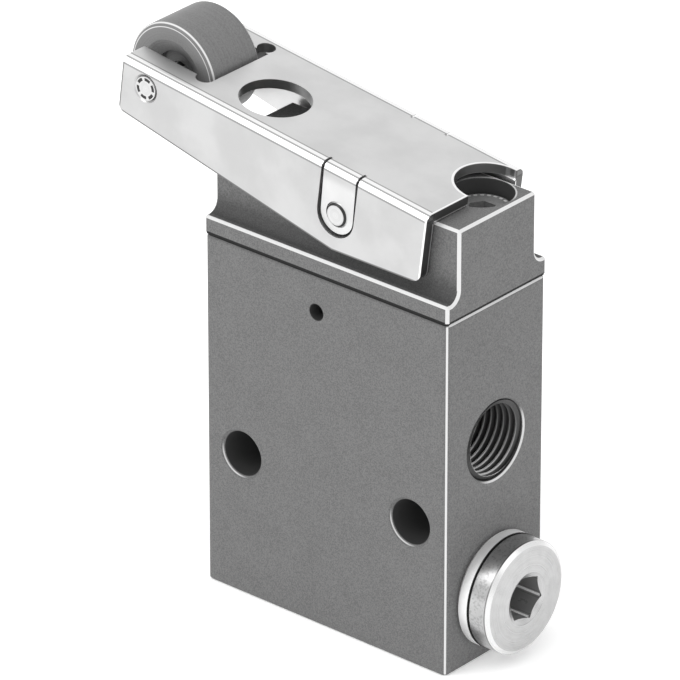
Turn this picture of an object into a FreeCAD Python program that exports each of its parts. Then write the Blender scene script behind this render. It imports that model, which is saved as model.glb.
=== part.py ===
import FreeCAD, Part
import os
import Sketcher

# Roller lever air valve with small pipe thread ports, in millimetres.
# The origin is the middle of the body's flat base. X runs along the body, the roller is on the -X side,
# Y runs through the body's thickness with the vent in front at -Y, and Z points up to the lever.

SIZES = [
    ("body_length", 36.0, "body along X"),
    ("body_depth", 17.2, "body along Y"),
    ("body_height", 44.5, "body from its base to the gasket"),
    ("body_corner_round", 0.8, "upright corners of the body"),
    ("edge_break", 0.25, "small chamfer on the machined edges"),
    ("mount_hole_bore", 5.5, "the two fixing holes through the body"),
    ("mount_hole_end_distance", 5.4, "fixing holes from the ends of the body"),
    ("mount_hole_level", 18.0, "fixing holes above the base"),
    ("mount_hole_chamfer", 0.35, "countersink of the fixing holes"),
    ("port_bore", 9.728, "outside diameter of the pipe thread"),
    ("port_depth", 8.5, "threaded length of a port"),
    ("port_chamfer", 0.25, "lead-in of a port"),
    ("port_passage", 6.0, "drilling from a port to the main bore"),
    ("outlet_level", 26.9, "outlet port above the base"),
    ("supply_level", 8.3, "supply gallery above the base"),
    ("vent_bore", 2.0, "vent in the front face"),
    ("vent_offset", -1.2, "vent from the middle of the body"),
    ("vent_drop", 4.5, "vent below the gasket"),
    ("chamber_bore", 13.0, "piston chamber"),
    ("chamber_depth", 11.3, "piston chamber below the gasket"),
    ("sleeve_bore", 10.5, "bore for the seat sleeve"),
    ("spring_bore", 9.2, "bore below the sleeve, for the return spring"),
    ("bore_floor", 3.2, "floor of the main bore above the base"),
    ("sleeve_level", 12.4, "shoulder that carries the sleeve"),
    ("sleeve_set_back", 1.6, "seat sleeve below the floor of the piston chamber"),
    ("sleeve_inner_bore", 7.6, "outlet chamber inside the sleeve"),
    ("seat_bore", 5.2, "valve seats at both ends of the sleeve"),
    ("seat_land", 2.0, "length of a valve seat"),
    ("window_bore", 3.0, "hole of the sleeve towards the outlet"),
    ("sliding_clearance", 0.05, "radial gap of a piece that slides or turns"),
    ("fitting_clearance", 0.02, "radial gap of a piece pressed or set in place"),
    ("seat_gap", 0.05, "gap between faces that meet at rest"),
    ("piston_stroke", 1.5, "travel of the piston and the valve stem"),
    ("piston_top_gap", 0.5, "piston below the head at rest"),
    ("piston_thickness", 2.7, "piston crown"),
    ("piston_clearance", 0.1, "radial gap of the piston crown"),
    ("piston_hub", 5.2, "hub of the piston"),
    ("piston_seal_depth", 1.2, "seal ring of the piston, across"),
    ("piston_seal_width", 1.2, "seal ring of the piston, along the bore"),
    ("stem_diameter", 2.5, "valve stem"),
    ("stem_flange", 7.2, "flange that carries the inlet seal"),
    ("stem_flange_thickness", 1.2, "flange that carries the inlet seal"),
    ("stem_tail", 2.5, "end of the stem inside the return spring"),
    ("poppet_seal", 7.8, "rubber discs that close the seats"),
    ("poppet_seal_thickness", 1.6, "rubber discs that close the seats"),
    ("return_spring_outside", 6.6, "return spring under the stem"),
    ("return_spring_wire", 0.7, "return spring under the stem"),
    ("gasket_thickness", 0.3, "gasket between body and head"),
    ("gasket_inset", 0.2, "gasket inside the outline of the body"),
    ("flange_thickness", 2.0, "foot of the head"),
    ("ledge_width", 1.95, "foot of the head beside its upper part, along Y"),
    ("boss_rise", 8.75, "upper part of the head above its foot"),
    ("boss_fillet", 1.4, "hollow round between foot and upper part"),
    ("screw_end_distance", 4.5, "head screws from the ends of the head"),
    ("recess_wall", 0.35, "wall between a counterbore and the side of the head"),
    ("screw_thread", 4.0, "thread of the head screws"),
    ("screw_hole", 4.3, "clearance hole for the head screws"),
    ("screw_length", 16.0, "shank of the head screws"),
    ("screw_head", 7.0, "socket heads of the head screws"),
    ("screw_head_height", 4.0, "socket heads of the head screws"),
    ("screw_socket", 3.0, "hexagon across flats in the head screws"),
    ("screw_socket_depth", 2.0, "hexagon in the head screws"),
    ("screw_recess", 7.6, "counterbores of the head"),
    ("screw_sink", 1.85, "screw heads below the top of the head"),
    ("tappet_reach", 6.0, "tappet from the middle, towards the roller"),
    ("tappet_diameter", 3.8, "tappet"),
    ("tappet_tip", 1.6, "flat on the end that the lever presses"),
    ("tappet_tip_height", 0.7, "cone below that flat"),
    ("tappet_collar", 4.4, "collar that keeps the tappet in"),
    ("tappet_collar_height", 0.9, "collar that keeps the tappet in"),
    ("tappet_pin", 1.6, "thin end of the tappet through the pilot seat"),
    ("bush_outside", 6.4, "guide bush of the tappet"),
    ("bush_length", 3.15, "guide bush of the tappet"),
    ("pilot_bore", 4.8, "pilot chamber"),
    ("pilot_height", 4.8, "pilot seat above the gasket"),
    ("pilot_seat_bore", 2.6, "pilot seat"),
    ("pilot_seat_land", 0.8, "pilot seat"),
    ("pilot_poppet_diameter", 3.6, "disc that closes the pilot seat"),
    ("pilot_poppet_thickness", 1.0, "disc that closes the pilot seat"),
    ("pilot_peg", 1.6, "peg of the pilot poppet inside its spring"),
    ("pilot_peg_length", 0.7, "peg of the pilot poppet inside its spring"),
    ("pilot_cap_thickness", 0.9, "cap that closes the pilot chamber"),
    ("pilot_spring_outside", 3.2, "spring under the pilot poppet"),
    ("pilot_spring_wire", 0.4, "spring under the pilot poppet"),
    ("pin_reach", 1.34, "pivot pin from the middle, away from the roller"),
    ("pin_drop", 2.75, "pivot pin below the top of the head"),
    ("pin_diameter", 3.0, "pivot pin"),
    ("pin_end_chamfer", 0.3, "ends of the pivot pin"),
    ("lever_side_gap", 0.45, "between the head and each side wall of the lever"),
    ("sheet_thickness", 1.2, "sheet of the lever"),
    ("bend_round", 0.8, "outside of the lever's bends"),
    ("inner_bend_round", 0.2, "inside of the lever's bends"),
    ("plate_rise", 5.84, "top of the lever above the pivot pin"),
    ("lever_overhang", 13.26, "roller end of the lever beyond the body, along the lever"),
    ("rear_set_back", 3.86, "short end of the lever from the end of the body, along the lever"),
    ("front_drop", 1.1, "side wall below the pin at the roller end"),
    ("middle_drop", 4.45, "side wall below the pin at the pin"),
    ("rear_drop", 2.8, "side wall below the pin at the short end"),
    ("front_corner_round", 0.8, "lower corner at the roller end"),
    ("rear_corner_round", 1.4, "lower corner at the short end"),
    ("rest_gap", 0.2, "short end of the lever above the head at rest"),
    ("slot_end_gap", 0.3, "between the roller and the end of its slot"),
    ("slot_side_gap", 0.85, "between the roller and each side of its slot"),
    ("relief_round", 1.1, "ears at the corners of the roller's slot"),
    ("front_relief_inset", 0.1, "front ear from the side of the slot, inwards"),
    ("back_relief_outset", 0.9, "back ear from the side of the slot, outwards"),
    ("access_bore", 8.5, "hole over the left head screw"),
    ("access_lead", 0.36, "hole over the left head screw, from the screw towards the roller"),
    ("access_inset", 0.55, "hole over the left head screw, from the screw towards the middle"),
    ("notch_bore", 8.4, "notch over the right head screw"),
    ("notch_lead", 0.44, "notch over the right head screw, from the screw towards the end"),
    ("tongue_width", 4.7, "bearing tongue pressed out of each side wall"),
    ("tongue_slit", 0.35, "cut round a bearing tongue"),
    ("tongue_root_flat", 0.05, "flat root of a bearing tongue, in the plate beside its bend"),
    ("tongue_gap", 0.1, "end of a bearing tongue beside the head"),
    ("tongue_end_share", 0.49, "rounds at the end of a bearing tongue, as a share of its width"),
    ("pin_hole_chamfer", 0.25, "countersink of the holes for pin and axle"),
    ("axle_end_distance", 3.6, "roller axle from the roller end of the lever"),
    ("axle_rise", 3.17, "roller axle above the pin, square to the lever"),
    ("axle_diameter", 2.5, "roller axle"),
    ("axle_rivet", 2.9, "riveted ends of the roller axle"),
    ("axle_rivet_length", 0.4, "riveted ends of the roller axle"),
    ("roller_diameter", 12.8, "roller"),
    ("roller_side_gap", 3.1, "between the roller and each side wall of the lever"),
    ("roller_offset", 0.2, "roller from the middle of the lever, away from the front"),
    ("roller_bevel", 0.35, "bevel of the roller's rim"),
    ("roller_bevel_width", 0.4, "bevel of the roller's rim"),
    ("roller_rim", 1.7, "flat edge beside the bevel"),
    ("roller_dish", 0.8, "hollow of the roller's side at its hub"),
    ("roller_hub", 5.6, "step round the roller's hub"),
    ("roller_hub_step", 0.6, "step round the roller's hub"),
    ("plug_collar", 13.7, "collar of the blanking plug"),
    ("plug_collar_thickness", 2.9, "collar of the blanking plug"),
    ("plug_cone_drop", 0.5, "cone on the collar of the blanking plug, inwards"),
    ("plug_cone_width", 0.35, "cone on the collar of the blanking plug, along it"),
    ("plug_face_rise", 0.25, "face of the blanking plug from its cone to the hexagon"),
    ("plug_length", 7.5, "threaded part of the blanking plug"),
    ("plug_socket", 5.0, "hexagon across flats in the blanking plug"),
    ("plug_socket_turn", 15.0, "turn of the hexagon in the blanking plug, in degrees"),
    ("plug_socket_depth", 4.5, "hexagon in the blanking plug"),
    ("plug_socket_mouth", 6.5, "cone at the mouth of the hexagon"),
    ("plug_socket_mouth_depth", 0.42, "cone at the mouth of the hexagon"),
    ("plug_seal_thickness", 1.95, "sealing ring under the plug's collar"),
    ("plug_seal_outside", 13.8, "sealing ring under the plug's collar"),
    ("plug_seal_chamfer", 0.45, "sealing ring's edge at the body"),
]

doc = FreeCAD.newDocument("roller_lever_air_valve")
sheet = doc.addObject("Spreadsheet::Sheet", "dim")
for row, (alias, number, meaning) in enumerate(SIZES, start=1):
    sheet.set(f"A{row}", alias)
    sheet.set(f"B{row}", str(number))
    sheet.set(f"C{row}", meaning)
    sheet.setAlias(f"B{row}", alias)
doc.recompute()

# Levels that several pieces share, each written in the driving sizes.
GASKET_TOP = "(dim.body_height + dim.gasket_thickness)"
BOSS_HEIGHT = "(dim.flange_thickness + dim.boss_rise)"
BOSS_TOP = f"({GASKET_TOP} + {BOSS_HEIGHT})"
PIN_LEVEL = f"({BOSS_TOP} - dim.pin_drop)"
CHAMBER_FLOOR = "(dim.body_height - dim.chamber_depth)"
SLEEVE_TOP = f"({CHAMBER_FLOOR} - dim.sleeve_set_back)"
SLEEVE_LENGTH = f"({SLEEVE_TOP} - dim.sleeve_level)"
LEVER_TILT = "lever.Placement.Rotation.Angle"
MOUNT_REACH = "(dim.body_length / 2 - dim.mount_hole_end_distance)"
BOSS_WIDTH = "(dim.body_depth - 2 * dim.ledge_width)"
SCREW_REACH = "(dim.body_length / 2 - dim.screw_end_distance)"
SCREW_OFFSET = f"({BOSS_WIDTH} / 2 - dim.recess_wall - dim.screw_recess / 2)"
LEVER_WIDTH = f"({BOSS_WIDTH} + 2 * dim.lever_side_gap + 2 * dim.sheet_thickness)"
FRONT_REACH = "(dim.body_length / 2 + dim.pin_reach + dim.lever_overhang)"
REAR_REACH = "(dim.body_length / 2 - dim.pin_reach - dim.rear_set_back)"
AXLE_REACH = f"({FRONT_REACH} - dim.axle_end_distance)"
ROLLER_WIDTH = f"({LEVER_WIDTH} - 2 * dim.sheet_thickness - 2 * dim.roller_side_gap)"
SLOT_WIDTH = f"({ROLLER_WIDTH} + 2 * dim.slot_side_gap)"
SLOT_REACH = f"({AXLE_REACH} - dim.roller_diameter / 2 - dim.slot_end_gap)"
TONGUE_LEAN = "(dim.lever_side_gap - dim.tongue_gap)"
TONGUE_BEND_LEAN = f"({TONGUE_LEAN} * dim.sheet_thickness / (dim.plate_rise + dim.tongue_width / 2))"
TONGUE_ROOT = f"({TONGUE_BEND_LEAN} + dim.sheet_thickness + dim.inner_bend_round + dim.tongue_root_flat)"
SCREW_TIP_DEPTH = "(dim.screw_length - (dim.boss_rise + dim.flange_thickness + dim.gasket_thickness" \
                  " - dim.screw_sink - dim.screw_head_height))"
INLET_SEAL_LEVEL = "(dim.sleeve_level - dim.seat_gap - dim.poppet_seal_thickness)"
STEM_FLANGE_LEVEL = f"({INLET_SEAL_LEVEL} - dim.stem_flange_thickness)"
EXHAUST_SEAL_LEVEL = f"({SLEEVE_TOP} + dim.piston_stroke + dim.seat_gap)"
EXHAUST_SEAL_TOP = f"({EXHAUST_SEAL_LEVEL} + dim.poppet_seal_thickness)"
PISTON_TOP = f"({GASKET_TOP} - dim.piston_top_gap)"
PILOT_SEAT_LEVEL = f"({GASKET_TOP} + dim.pilot_height)"
TAPPET_COLLAR_TOP = f"({BOSS_TOP} - dim.bush_length - dim.seat_gap)"
TAPPET_TOP = f"({PIN_LEVEL} + (dim.plate_rise - dim.sheet_thickness - dim.seat_gap" \
             f" + (dim.tappet_reach + dim.pin_reach - dim.tappet_tip / 2) * sin({LEVER_TILT}))" \
             f" / cos({LEVER_TILT}))"
FLATS_TO_CORNER = 3 ** 0.5


def value(text):
    """Number that an expression gives with the sizes as they are."""
    result = sheet.evalExpression(text)
    return float(getattr(result, "Value", result))


def near(first, second):
    return abs(first - second) < 0.001


def new_body(name):
    body = doc.addObject("PartDesign::Body", name)
    body.Label = name
    return body


def new_sketch(body, name, role, height="0", across="0"):
    """Sketch on one of the body's own planes, moved along its normal and along its first axis."""
    sketch = body.newObject("Sketcher::SketchObject", f"{body.Name}_{name}")
    plane = [item for item in body.Origin.OriginFeatures if item.Role == role][0]
    sketch.AttachmentSupport = [(plane, "")]
    sketch.MapMode = "FlatFace"
    sketch.setExpression("AttachmentOffset.Base.z", height)
    sketch.setExpression("AttachmentOffset.Base.x", across)
    return sketch


def tie(sketch, constraint, text):
    index = sketch.addConstraint(constraint)
    sketch.setExpression(f"Constraints[{index}]", text)


def outline(sketch, corners):
    """Closed outline of straight lines, each corner tied to the sketch's origin."""
    first = sketch.GeometryCount
    points = [FreeCAD.Vector(value(x), value(y), 0) for x, y in corners]
    count = len(points)
    for index, point in enumerate(points):
        sketch.addGeometry(Part.LineSegment(point, points[(index + 1) % count]), False)
    for index, (x, y) in enumerate(corners):
        line = first + index
        follower = first + (index + 1) % count
        sketch.addConstraint(Sketcher.Constraint("Coincident", line, 2, follower, 1))
        tie(sketch, Sketcher.Constraint("DistanceX", -1, 1, line, 1, points[index].x), x)
        tie(sketch, Sketcher.Constraint("DistanceY", -1, 1, line, 1, points[index].y), y)


def circle(sketch, x, y, diameter):
    centre = FreeCAD.Vector(value(x), value(y), 0)
    radius = value(diameter) / 2
    line = sketch.addGeometry(Part.Circle(centre, FreeCAD.Vector(0, 0, 1), radius), False)
    tie(sketch, Sketcher.Constraint("DistanceX", -1, 1, line, 3, centre.x), x)
    tie(sketch, Sketcher.Constraint("DistanceY", -1, 1, line, 3, centre.y), y)
    tie(sketch, Sketcher.Constraint("Radius", line, radius), f"({diameter}) / 2")


def hexagon(sketch, across_flats, turn="0"):
    """Hexagon round the sketch's origin; unturned, it has a corner on the sketch's first axis."""
    reach = f"({across_flats}) / {FLATS_TO_CORNER}"
    angles = [f"{60 * corner} + {turn}" for corner in range(6)]
    outline(sketch, [(f"{reach} * cos({angle})", f"{reach} * sin({angle})") for angle in angles])


def extrude(body, kind, name, sketch, length, side="One side", reverse=False):
    """Pad or Pocket; a pocket that meets no material stops the script."""
    before = body.Shape.Volume if kind == "Pocket" else 0
    feature = body.newObject(f"PartDesign::{kind}", f"{body.Name}_{name}")
    feature.Profile = sketch
    feature.SideType = side
    feature.Reversed = reverse
    feature.setExpression("Length", length)
    body.Tip = feature
    doc.recompute()
    if kind == "Pocket" and not body.Shape.Volume < before:
        raise RuntimeError(f"{name} cuts nothing from {body.Label}")
    return feature


def turn(body, kind, name, corners, across="0"):
    """Revolution or Groove of an outline given as radius and height, round an upright axis."""
    sketch = new_sketch(body, f"{name}_profile", "XZ_Plane", across=across)
    outline(sketch, corners)
    feature = body.newObject(f"PartDesign::{kind}", f"{body.Name}_{name}")
    feature.Profile = sketch
    feature.ReferenceAxis = (sketch, ["V_Axis"])
    feature.Angle = 360
    body.Tip = feature
    doc.recompute()
    return feature


def dress(body, kind, name, test, size_name, size):
    """Fillet or Chamfer on the edges of the body's last feature that pass a test."""
    base = body.Tip
    names = [f"Edge{index}" for index, edge in enumerate(base.Shape.Edges, start=1) if test(edge)]
    if not names:
        raise RuntimeError(f"{name} finds no edge on {body.Label}")
    feature = body.newObject(f"PartDesign::{kind}", f"{body.Name}_{name}")
    feature.Base = (base, names)
    feature.setExpression(size_name, size)
    body.Tip = feature
    doc.recompute()
    return feature


def straight_along(edge, axis):
    if not isinstance(edge.Curve, (Part.Line, Part.LineSegment)):
        return False
    return near(abs(edge.Curve.Direction.dot(axis)), 1)


def round_edge(edge, diameter):
    return isinstance(edge.Curve, Part.Circle) and near(edge.Curve.Radius, value(diameter) / 2)


def place(item, x="0", y="0", z="0"):
    item.setExpression("Placement.Base.x", x)
    item.setExpression("Placement.Base.y", y)
    item.setExpression("Placement.Base.z", z)


ALONG_X = FreeCAD.Vector(1, 0, 0)
ALONG_Y = FreeCAD.Vector(0, 1, 0)
ALONG_Z = FreeCAD.Vector(0, 0, 1)
LYING_ALONG_Y = FreeCAD.Rotation(ALONG_X, -90)
LYING_ALONG_X = FreeCAD.Rotation(ALONG_Y, 90)


# The body: a block with the main bore from the top, ports in its ends and fixing holes through it.

def make_valve_body():
    body = new_body("valve_body")
    block = new_sketch(body, "block", "XY_Plane")
    half_length = "dim.body_length / 2"
    half_depth = "dim.body_depth / 2"
    outline(block, [(f"-{half_length}", f"-{half_depth}"), (half_length, f"-{half_depth}"),
                    (half_length, half_depth), (f"-{half_length}", half_depth)])
    extrude(body, "Pad", "block_pad", block, "dim.body_height")
    dress(body, "Fillet", "corners", lambda edge: straight_along(edge, ALONG_Z),
          "Radius", "dim.body_corner_round")
    dress(body, "Chamfer", "rims", lambda edge: near(edge.BoundBox.ZLength, 0), "Size", "dim.edge_break")

    spring_radius = "dim.spring_bore / 2"
    sleeve_radius = "dim.sleeve_bore / 2"
    chamber_radius = "dim.chamber_bore / 2"
    turn(body, "Groove", "main_bore", [
        ("0", "dim.bore_floor"), (spring_radius, "dim.bore_floor"),
        (spring_radius, "dim.sleeve_level"), (sleeve_radius, "dim.sleeve_level"),
        (sleeve_radius, CHAMBER_FLOOR), (chamber_radius, CHAMBER_FLOOR),
        (chamber_radius, "dim.body_height"), ("0", "dim.body_height")])

    fixing = new_sketch(body, "fixing_holes", "XZ_Plane")
    for side in ("-", ""):
        circle(fixing, f"{side}{MOUNT_REACH}", "dim.mount_hole_level", "dim.mount_hole_bore")
    extrude(body, "Pocket", "fixing_hole_cut", fixing, "dim.body_depth + 2", side="Symmetric")

    ports = [("outlet", "", "dim.outlet_level"), ("plugged", "", "dim.supply_level"),
             ("supply", "-", "dim.supply_level")]
    for name, side, level in ports:
        leftwards = side == "-"
        thread = new_sketch(body, f"{name}_port", "YZ_Plane", height=f"{side}{half_length}")
        circle(thread, "0", level, "dim.port_bore")
        extrude(body, "Pocket", f"{name}_port_cut", thread, "dim.port_depth", reverse=leftwards)
        passage = new_sketch(body, f"{name}_passage", "YZ_Plane", height=f"{side}{half_length}")
        circle(passage, "0", level, "dim.port_passage")
        extrude(body, "Pocket", f"{name}_passage_cut", passage, half_length, reverse=leftwards)

    vent = new_sketch(body, "vent", "XZ_Plane")
    circle(vent, "dim.vent_offset", "dim.body_height - dim.vent_drop", "dim.vent_bore")
    extrude(body, "Pocket", "vent_cut", vent, half_depth, reverse=True)

    screws = new_sketch(body, "screw_holes", "XY_Plane", height="dim.body_height")
    for side in ("-", ""):
        circle(screws, f"{side}{SCREW_REACH}", f"{side}{SCREW_OFFSET}",
               "dim.screw_thread + 2 * dim.fitting_clearance")
    extrude(body, "Pocket", "screw_hole_cut", screws, f"{SCREW_TIP_DEPTH} + 1")

    face = value(half_length)
    front = value(half_depth)
    dress(body, "Chamfer", "port_mouths",
          lambda edge: round_edge(edge, "dim.port_bore") and near(abs(edge.CenterOfMass.x), face),
          "Size", "dim.port_chamfer")
    dress(body, "Chamfer", "fixing_hole_mouths",
          lambda edge: round_edge(edge, "dim.mount_hole_bore") and near(abs(edge.CenterOfMass.y), front),
          "Size", "dim.mount_hole_chamfer")
    return body


# The seat sleeve stands in the main bore on a shoulder and carries both valve seats.

def make_seat_sleeve():
    body = new_body("seat_sleeve")
    outer = "dim.sleeve_bore / 2 - dim.fitting_clearance"
    seat = "dim.seat_bore / 2"
    inner = "dim.sleeve_inner_bore / 2"
    turn(body, "Revolution", "tube", [
        (seat, "0"), (outer, "0"), (outer, SLEEVE_LENGTH), (seat, SLEEVE_LENGTH),
        (seat, f"{SLEEVE_LENGTH} - dim.seat_land"), (inner, f"{SLEEVE_LENGTH} - dim.seat_land"),
        (inner, "dim.seat_land"), (seat, "dim.seat_land")])
    window = new_sketch(body, "window", "YZ_Plane")
    circle(window, "0", "dim.outlet_level - dim.sleeve_level", "dim.window_bore")
    extrude(body, "Pocket", "window_cut", window, "dim.sleeve_bore", reverse=True)
    place(body, z="dim.sleeve_level")
    return body


# The stem hangs from the piston. Its lower disc closes the inlet seat and its upper disc the exhaust seat.

def make_valve_stem():
    body = new_body("valve_stem")
    radius = "dim.stem_diameter / 2"
    flange = "dim.stem_flange / 2"
    turn(body, "Revolution", "rod", [
        ("0", "-dim.stem_tail"), (radius, "-dim.stem_tail"), (radius, "0"), (flange, "0"),
        (flange, "dim.stem_flange_thickness"), (radius, "dim.stem_flange_thickness"),
        (radius, f"{PISTON_TOP} - {STEM_FLANGE_LEVEL}"), ("0", f"{PISTON_TOP} - {STEM_FLANGE_LEVEL}")])
    place(body, z=STEM_FLANGE_LEVEL)
    return body


def make_washer(name, inside, outside, thickness, level, across="0"):
    """Flat ring lying square to Z, with its lower face at a level."""
    body = new_body(name)
    turn(body, "Revolution", "ring", [
        (f"({inside}) / 2", "0"), (f"({outside}) / 2", "0"),
        (f"({outside}) / 2", thickness), (f"({inside}) / 2", thickness)])
    place(body, x=across, z=level)
    return body


def make_pilot_piston():
    body = new_body("pilot_piston")
    bore = "dim.stem_diameter / 2 + dim.fitting_clearance"
    hub = "dim.piston_hub / 2"
    crown = "dim.chamber_bore / 2 - dim.piston_clearance"
    groove = "dim.chamber_bore / 2 - dim.piston_seal_depth - 2 * dim.sliding_clearance"
    crown_floor = f"{PISTON_TOP} - dim.piston_thickness - {EXHAUST_SEAL_TOP}"
    crown_roof = f"{PISTON_TOP} - {EXHAUST_SEAL_TOP}"
    middle = f"{crown_roof} - dim.piston_thickness / 2"
    half_groove = "(dim.piston_seal_width / 2 + dim.sliding_clearance)"
    turn(body, "Revolution", "crown", [
        (bore, "0"), (hub, "0"), (hub, crown_floor), (crown, crown_floor),
        (crown, f"{middle} - {half_groove}"), (groove, f"{middle} - {half_groove}"),
        (groove, f"{middle} + {half_groove}"), (crown, f"{middle} + {half_groove}"),
        (crown, crown_roof), (bore, crown_roof)])
    place(body, z=EXHAUST_SEAL_TOP)
    return body


# The head: a foot and a narrower upper part in one T section, with the pilot bore and two screw recesses.

def make_actuator_head():
    body = new_body("actuator_head")
    section = new_sketch(body, "section", "YZ_Plane")
    foot = "dim.body_depth / 2"
    boss = f"{BOSS_WIDTH} / 2"
    ledge = "dim.flange_thickness"
    outline(section, [
        (f"-{foot}", "0"), (foot, "0"), (foot, ledge), (boss, ledge), (boss, BOSS_HEIGHT),
        (f"-{boss}", BOSS_HEIGHT), (f"-{boss}", ledge), (f"-{foot}", ledge)])
    extrude(body, "Pad", "section_pad", section, "dim.body_length", side="Symmetric")

    corner = value(boss)
    ledge_level = value(ledge)
    end = value("dim.body_length / 2")

    def in_hollow(edge):
        return straight_along(edge, ALONG_X) and near(abs(edge.CenterOfMass.y), corner) \
            and near(edge.CenterOfMass.z, ledge_level)

    def sharp(edge):
        at_end = near(abs(edge.CenterOfMass.x), end) and edge.CenterOfMass.z > 0.001
        along = straight_along(edge, ALONG_X) and edge.CenterOfMass.z > 0.001
        return (at_end or along) and not in_fillet(edge)

    def in_fillet(edge):
        tangent = value("dim.flange_thickness + dim.boss_fillet")
        foot_line = value(f"{BOSS_WIDTH} / 2 + dim.boss_fillet")
        rounded = near(edge.CenterOfMass.z, tangent) and near(abs(edge.CenterOfMass.y), corner)
        flat = near(edge.CenterOfMass.z, ledge_level) and near(abs(edge.CenterOfMass.y), foot_line)
        return straight_along(edge, ALONG_X) and (rounded or flat)

    dress(body, "Fillet", "hollow", in_hollow, "Radius", "dim.boss_fillet")
    dress(body, "Chamfer", "rims", sharp, "Size", "dim.edge_break")

    recess = new_sketch(body, "recesses", "XY_Plane", height=BOSS_HEIGHT)
    holes = new_sketch(body, "screw_holes", "XY_Plane", height=BOSS_HEIGHT)
    for side in ("-", ""):
        circle(recess, f"{side}{SCREW_REACH}", f"{side}{SCREW_OFFSET}", "dim.screw_recess")
        circle(holes, f"{side}{SCREW_REACH}", f"{side}{SCREW_OFFSET}", "dim.screw_hole")
    extrude(body, "Pocket", "recess_cut", recess, "dim.screw_sink + dim.screw_head_height")
    extrude(body, "Pocket", "screw_hole_cut", holes, BOSS_HEIGHT)

    pilot = "dim.pilot_bore / 2"
    seat = "dim.pilot_seat_bore / 2"
    collar = "dim.tappet_collar / 2 + 2 * dim.sliding_clearance"
    bush = "dim.bush_outside / 2 + dim.fitting_clearance"
    seat_top = "dim.pilot_height + dim.pilot_seat_land"
    bush_floor = f"{BOSS_HEIGHT} - dim.bush_length"
    turn(body, "Groove", "pilot_bore", [
        ("0", "0"), (pilot, "0"), (pilot, "dim.pilot_height"), (seat, "dim.pilot_height"), (seat, seat_top),
        (collar, seat_top), (collar, bush_floor), (bush, bush_floor), (bush, BOSS_HEIGHT),
        ("0", BOSS_HEIGHT)],
         across="-dim.tappet_reach")

    pin = new_sketch(body, "pin_hole", "XZ_Plane")
    circle(pin, "dim.pin_reach", f"{BOSS_HEIGHT} - dim.pin_drop",
           "dim.pin_diameter + 2 * dim.fitting_clearance")
    extrude(body, "Pocket", "pin_hole_cut", pin, "dim.body_depth", side="Symmetric")
    place(body, z=GASKET_TOP)
    return body


def make_head_gasket():
    body = new_body("head_gasket")
    sheet_outline = new_sketch(body, "outline", "XY_Plane")
    half_length = "(dim.body_length / 2 - dim.gasket_inset)"
    half_depth = "(dim.body_depth / 2 - dim.gasket_inset)"
    outline(sheet_outline, [(f"-{half_length}", f"-{half_depth}"), (half_length, f"-{half_depth}"),
                            (half_length, half_depth), (f"-{half_length}", half_depth)])
    circle(sheet_outline, "0", "0", "dim.chamber_bore")
    for side in ("-", ""):
        circle(sheet_outline, f"{side}{SCREW_REACH}", f"{side}{SCREW_OFFSET}", "dim.screw_hole")
    extrude(body, "Pad", "sheet", sheet_outline, "dim.gasket_thickness")
    place(body, z="dim.body_height")
    return body


def make_head_screw(name, side):
    body = new_body(name)
    shank = "dim.screw_thread / 2"
    head = "dim.screw_head / 2"
    turn(body, "Revolution", "screw", [
        ("0", "-dim.screw_length"), (shank, "-dim.screw_length"), (shank, "0"), (head, "0"),
        (head, "dim.screw_head_height"), ("0", "dim.screw_head_height")])
    socket = new_sketch(body, "socket", "XY_Plane", height="dim.screw_head_height")
    hexagon(socket, "dim.screw_socket")
    extrude(body, "Pocket", "socket_cut", socket, "dim.screw_socket_depth")
    place(body, x=f"{side}{SCREW_REACH}", y=f"{side}{SCREW_OFFSET}",
          z=f"{BOSS_TOP} - dim.screw_sink - dim.screw_head_height")
    return body


def make_head_screws():
    pair = doc.addObject("Part::Compound", "head_screws")
    pair.Label = "head_screws"
    pair.Links = [make_head_screw("left_head_screw", "-"), make_head_screw("right_head_screw", "")]
    return pair


# The pilot valve: the lever presses the tappet, which lifts the small poppet off its seat.

def make_tappet():
    body = new_body("tappet")
    stem = "dim.tappet_diameter / 2"
    collar = "dim.tappet_collar / 2"
    pin = "dim.tappet_pin / 2"
    collar_top = f"{TAPPET_COLLAR_TOP} - {PILOT_SEAT_LEVEL}"
    collar_floor = f"{collar_top} - dim.tappet_collar_height"
    top = f"{TAPPET_TOP} - {PILOT_SEAT_LEVEL}"
    turn(body, "Revolution", "plunger", [
        ("0", "-dim.seat_gap"), (pin, "-dim.seat_gap"), (pin, collar_floor), (collar, collar_floor),
        (collar, collar_top), (stem, collar_top), (stem, f"{top} - dim.tappet_tip_height"),
        ("dim.tappet_tip / 2", top), ("0", top)])
    place(body, x="-dim.tappet_reach", z=PILOT_SEAT_LEVEL)
    return body


def make_pilot_poppet():
    body = new_body("pilot_poppet")
    disc = "dim.pilot_poppet_diameter / 2"
    peg = "dim.pilot_peg / 2"
    turn(body, "Revolution", "disc", [
        ("0", "-dim.pilot_poppet_thickness - dim.pilot_peg_length"),
        (peg, "-dim.pilot_poppet_thickness - dim.pilot_peg_length"),
        (peg, "-dim.pilot_poppet_thickness"), (disc, "-dim.pilot_poppet_thickness"), (disc, "0"), ("0", "0")])
    place(body, x="-dim.tappet_reach", z=f"{PILOT_SEAT_LEVEL} - dim.seat_gap")
    return body


def make_pilot_cap():
    body = new_body("pilot_cap")
    disc = new_sketch(body, "disc", "XY_Plane")
    circle(disc, "0", "0", "dim.pilot_bore - 2 * dim.fitting_clearance")
    extrude(body, "Pad", "disc_pad", disc, "dim.pilot_cap_thickness")
    place(body, x="-dim.tappet_reach", z=GASKET_TOP)
    return body


# Pins and axles lie along Y and carry the lever and its roller.

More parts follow.
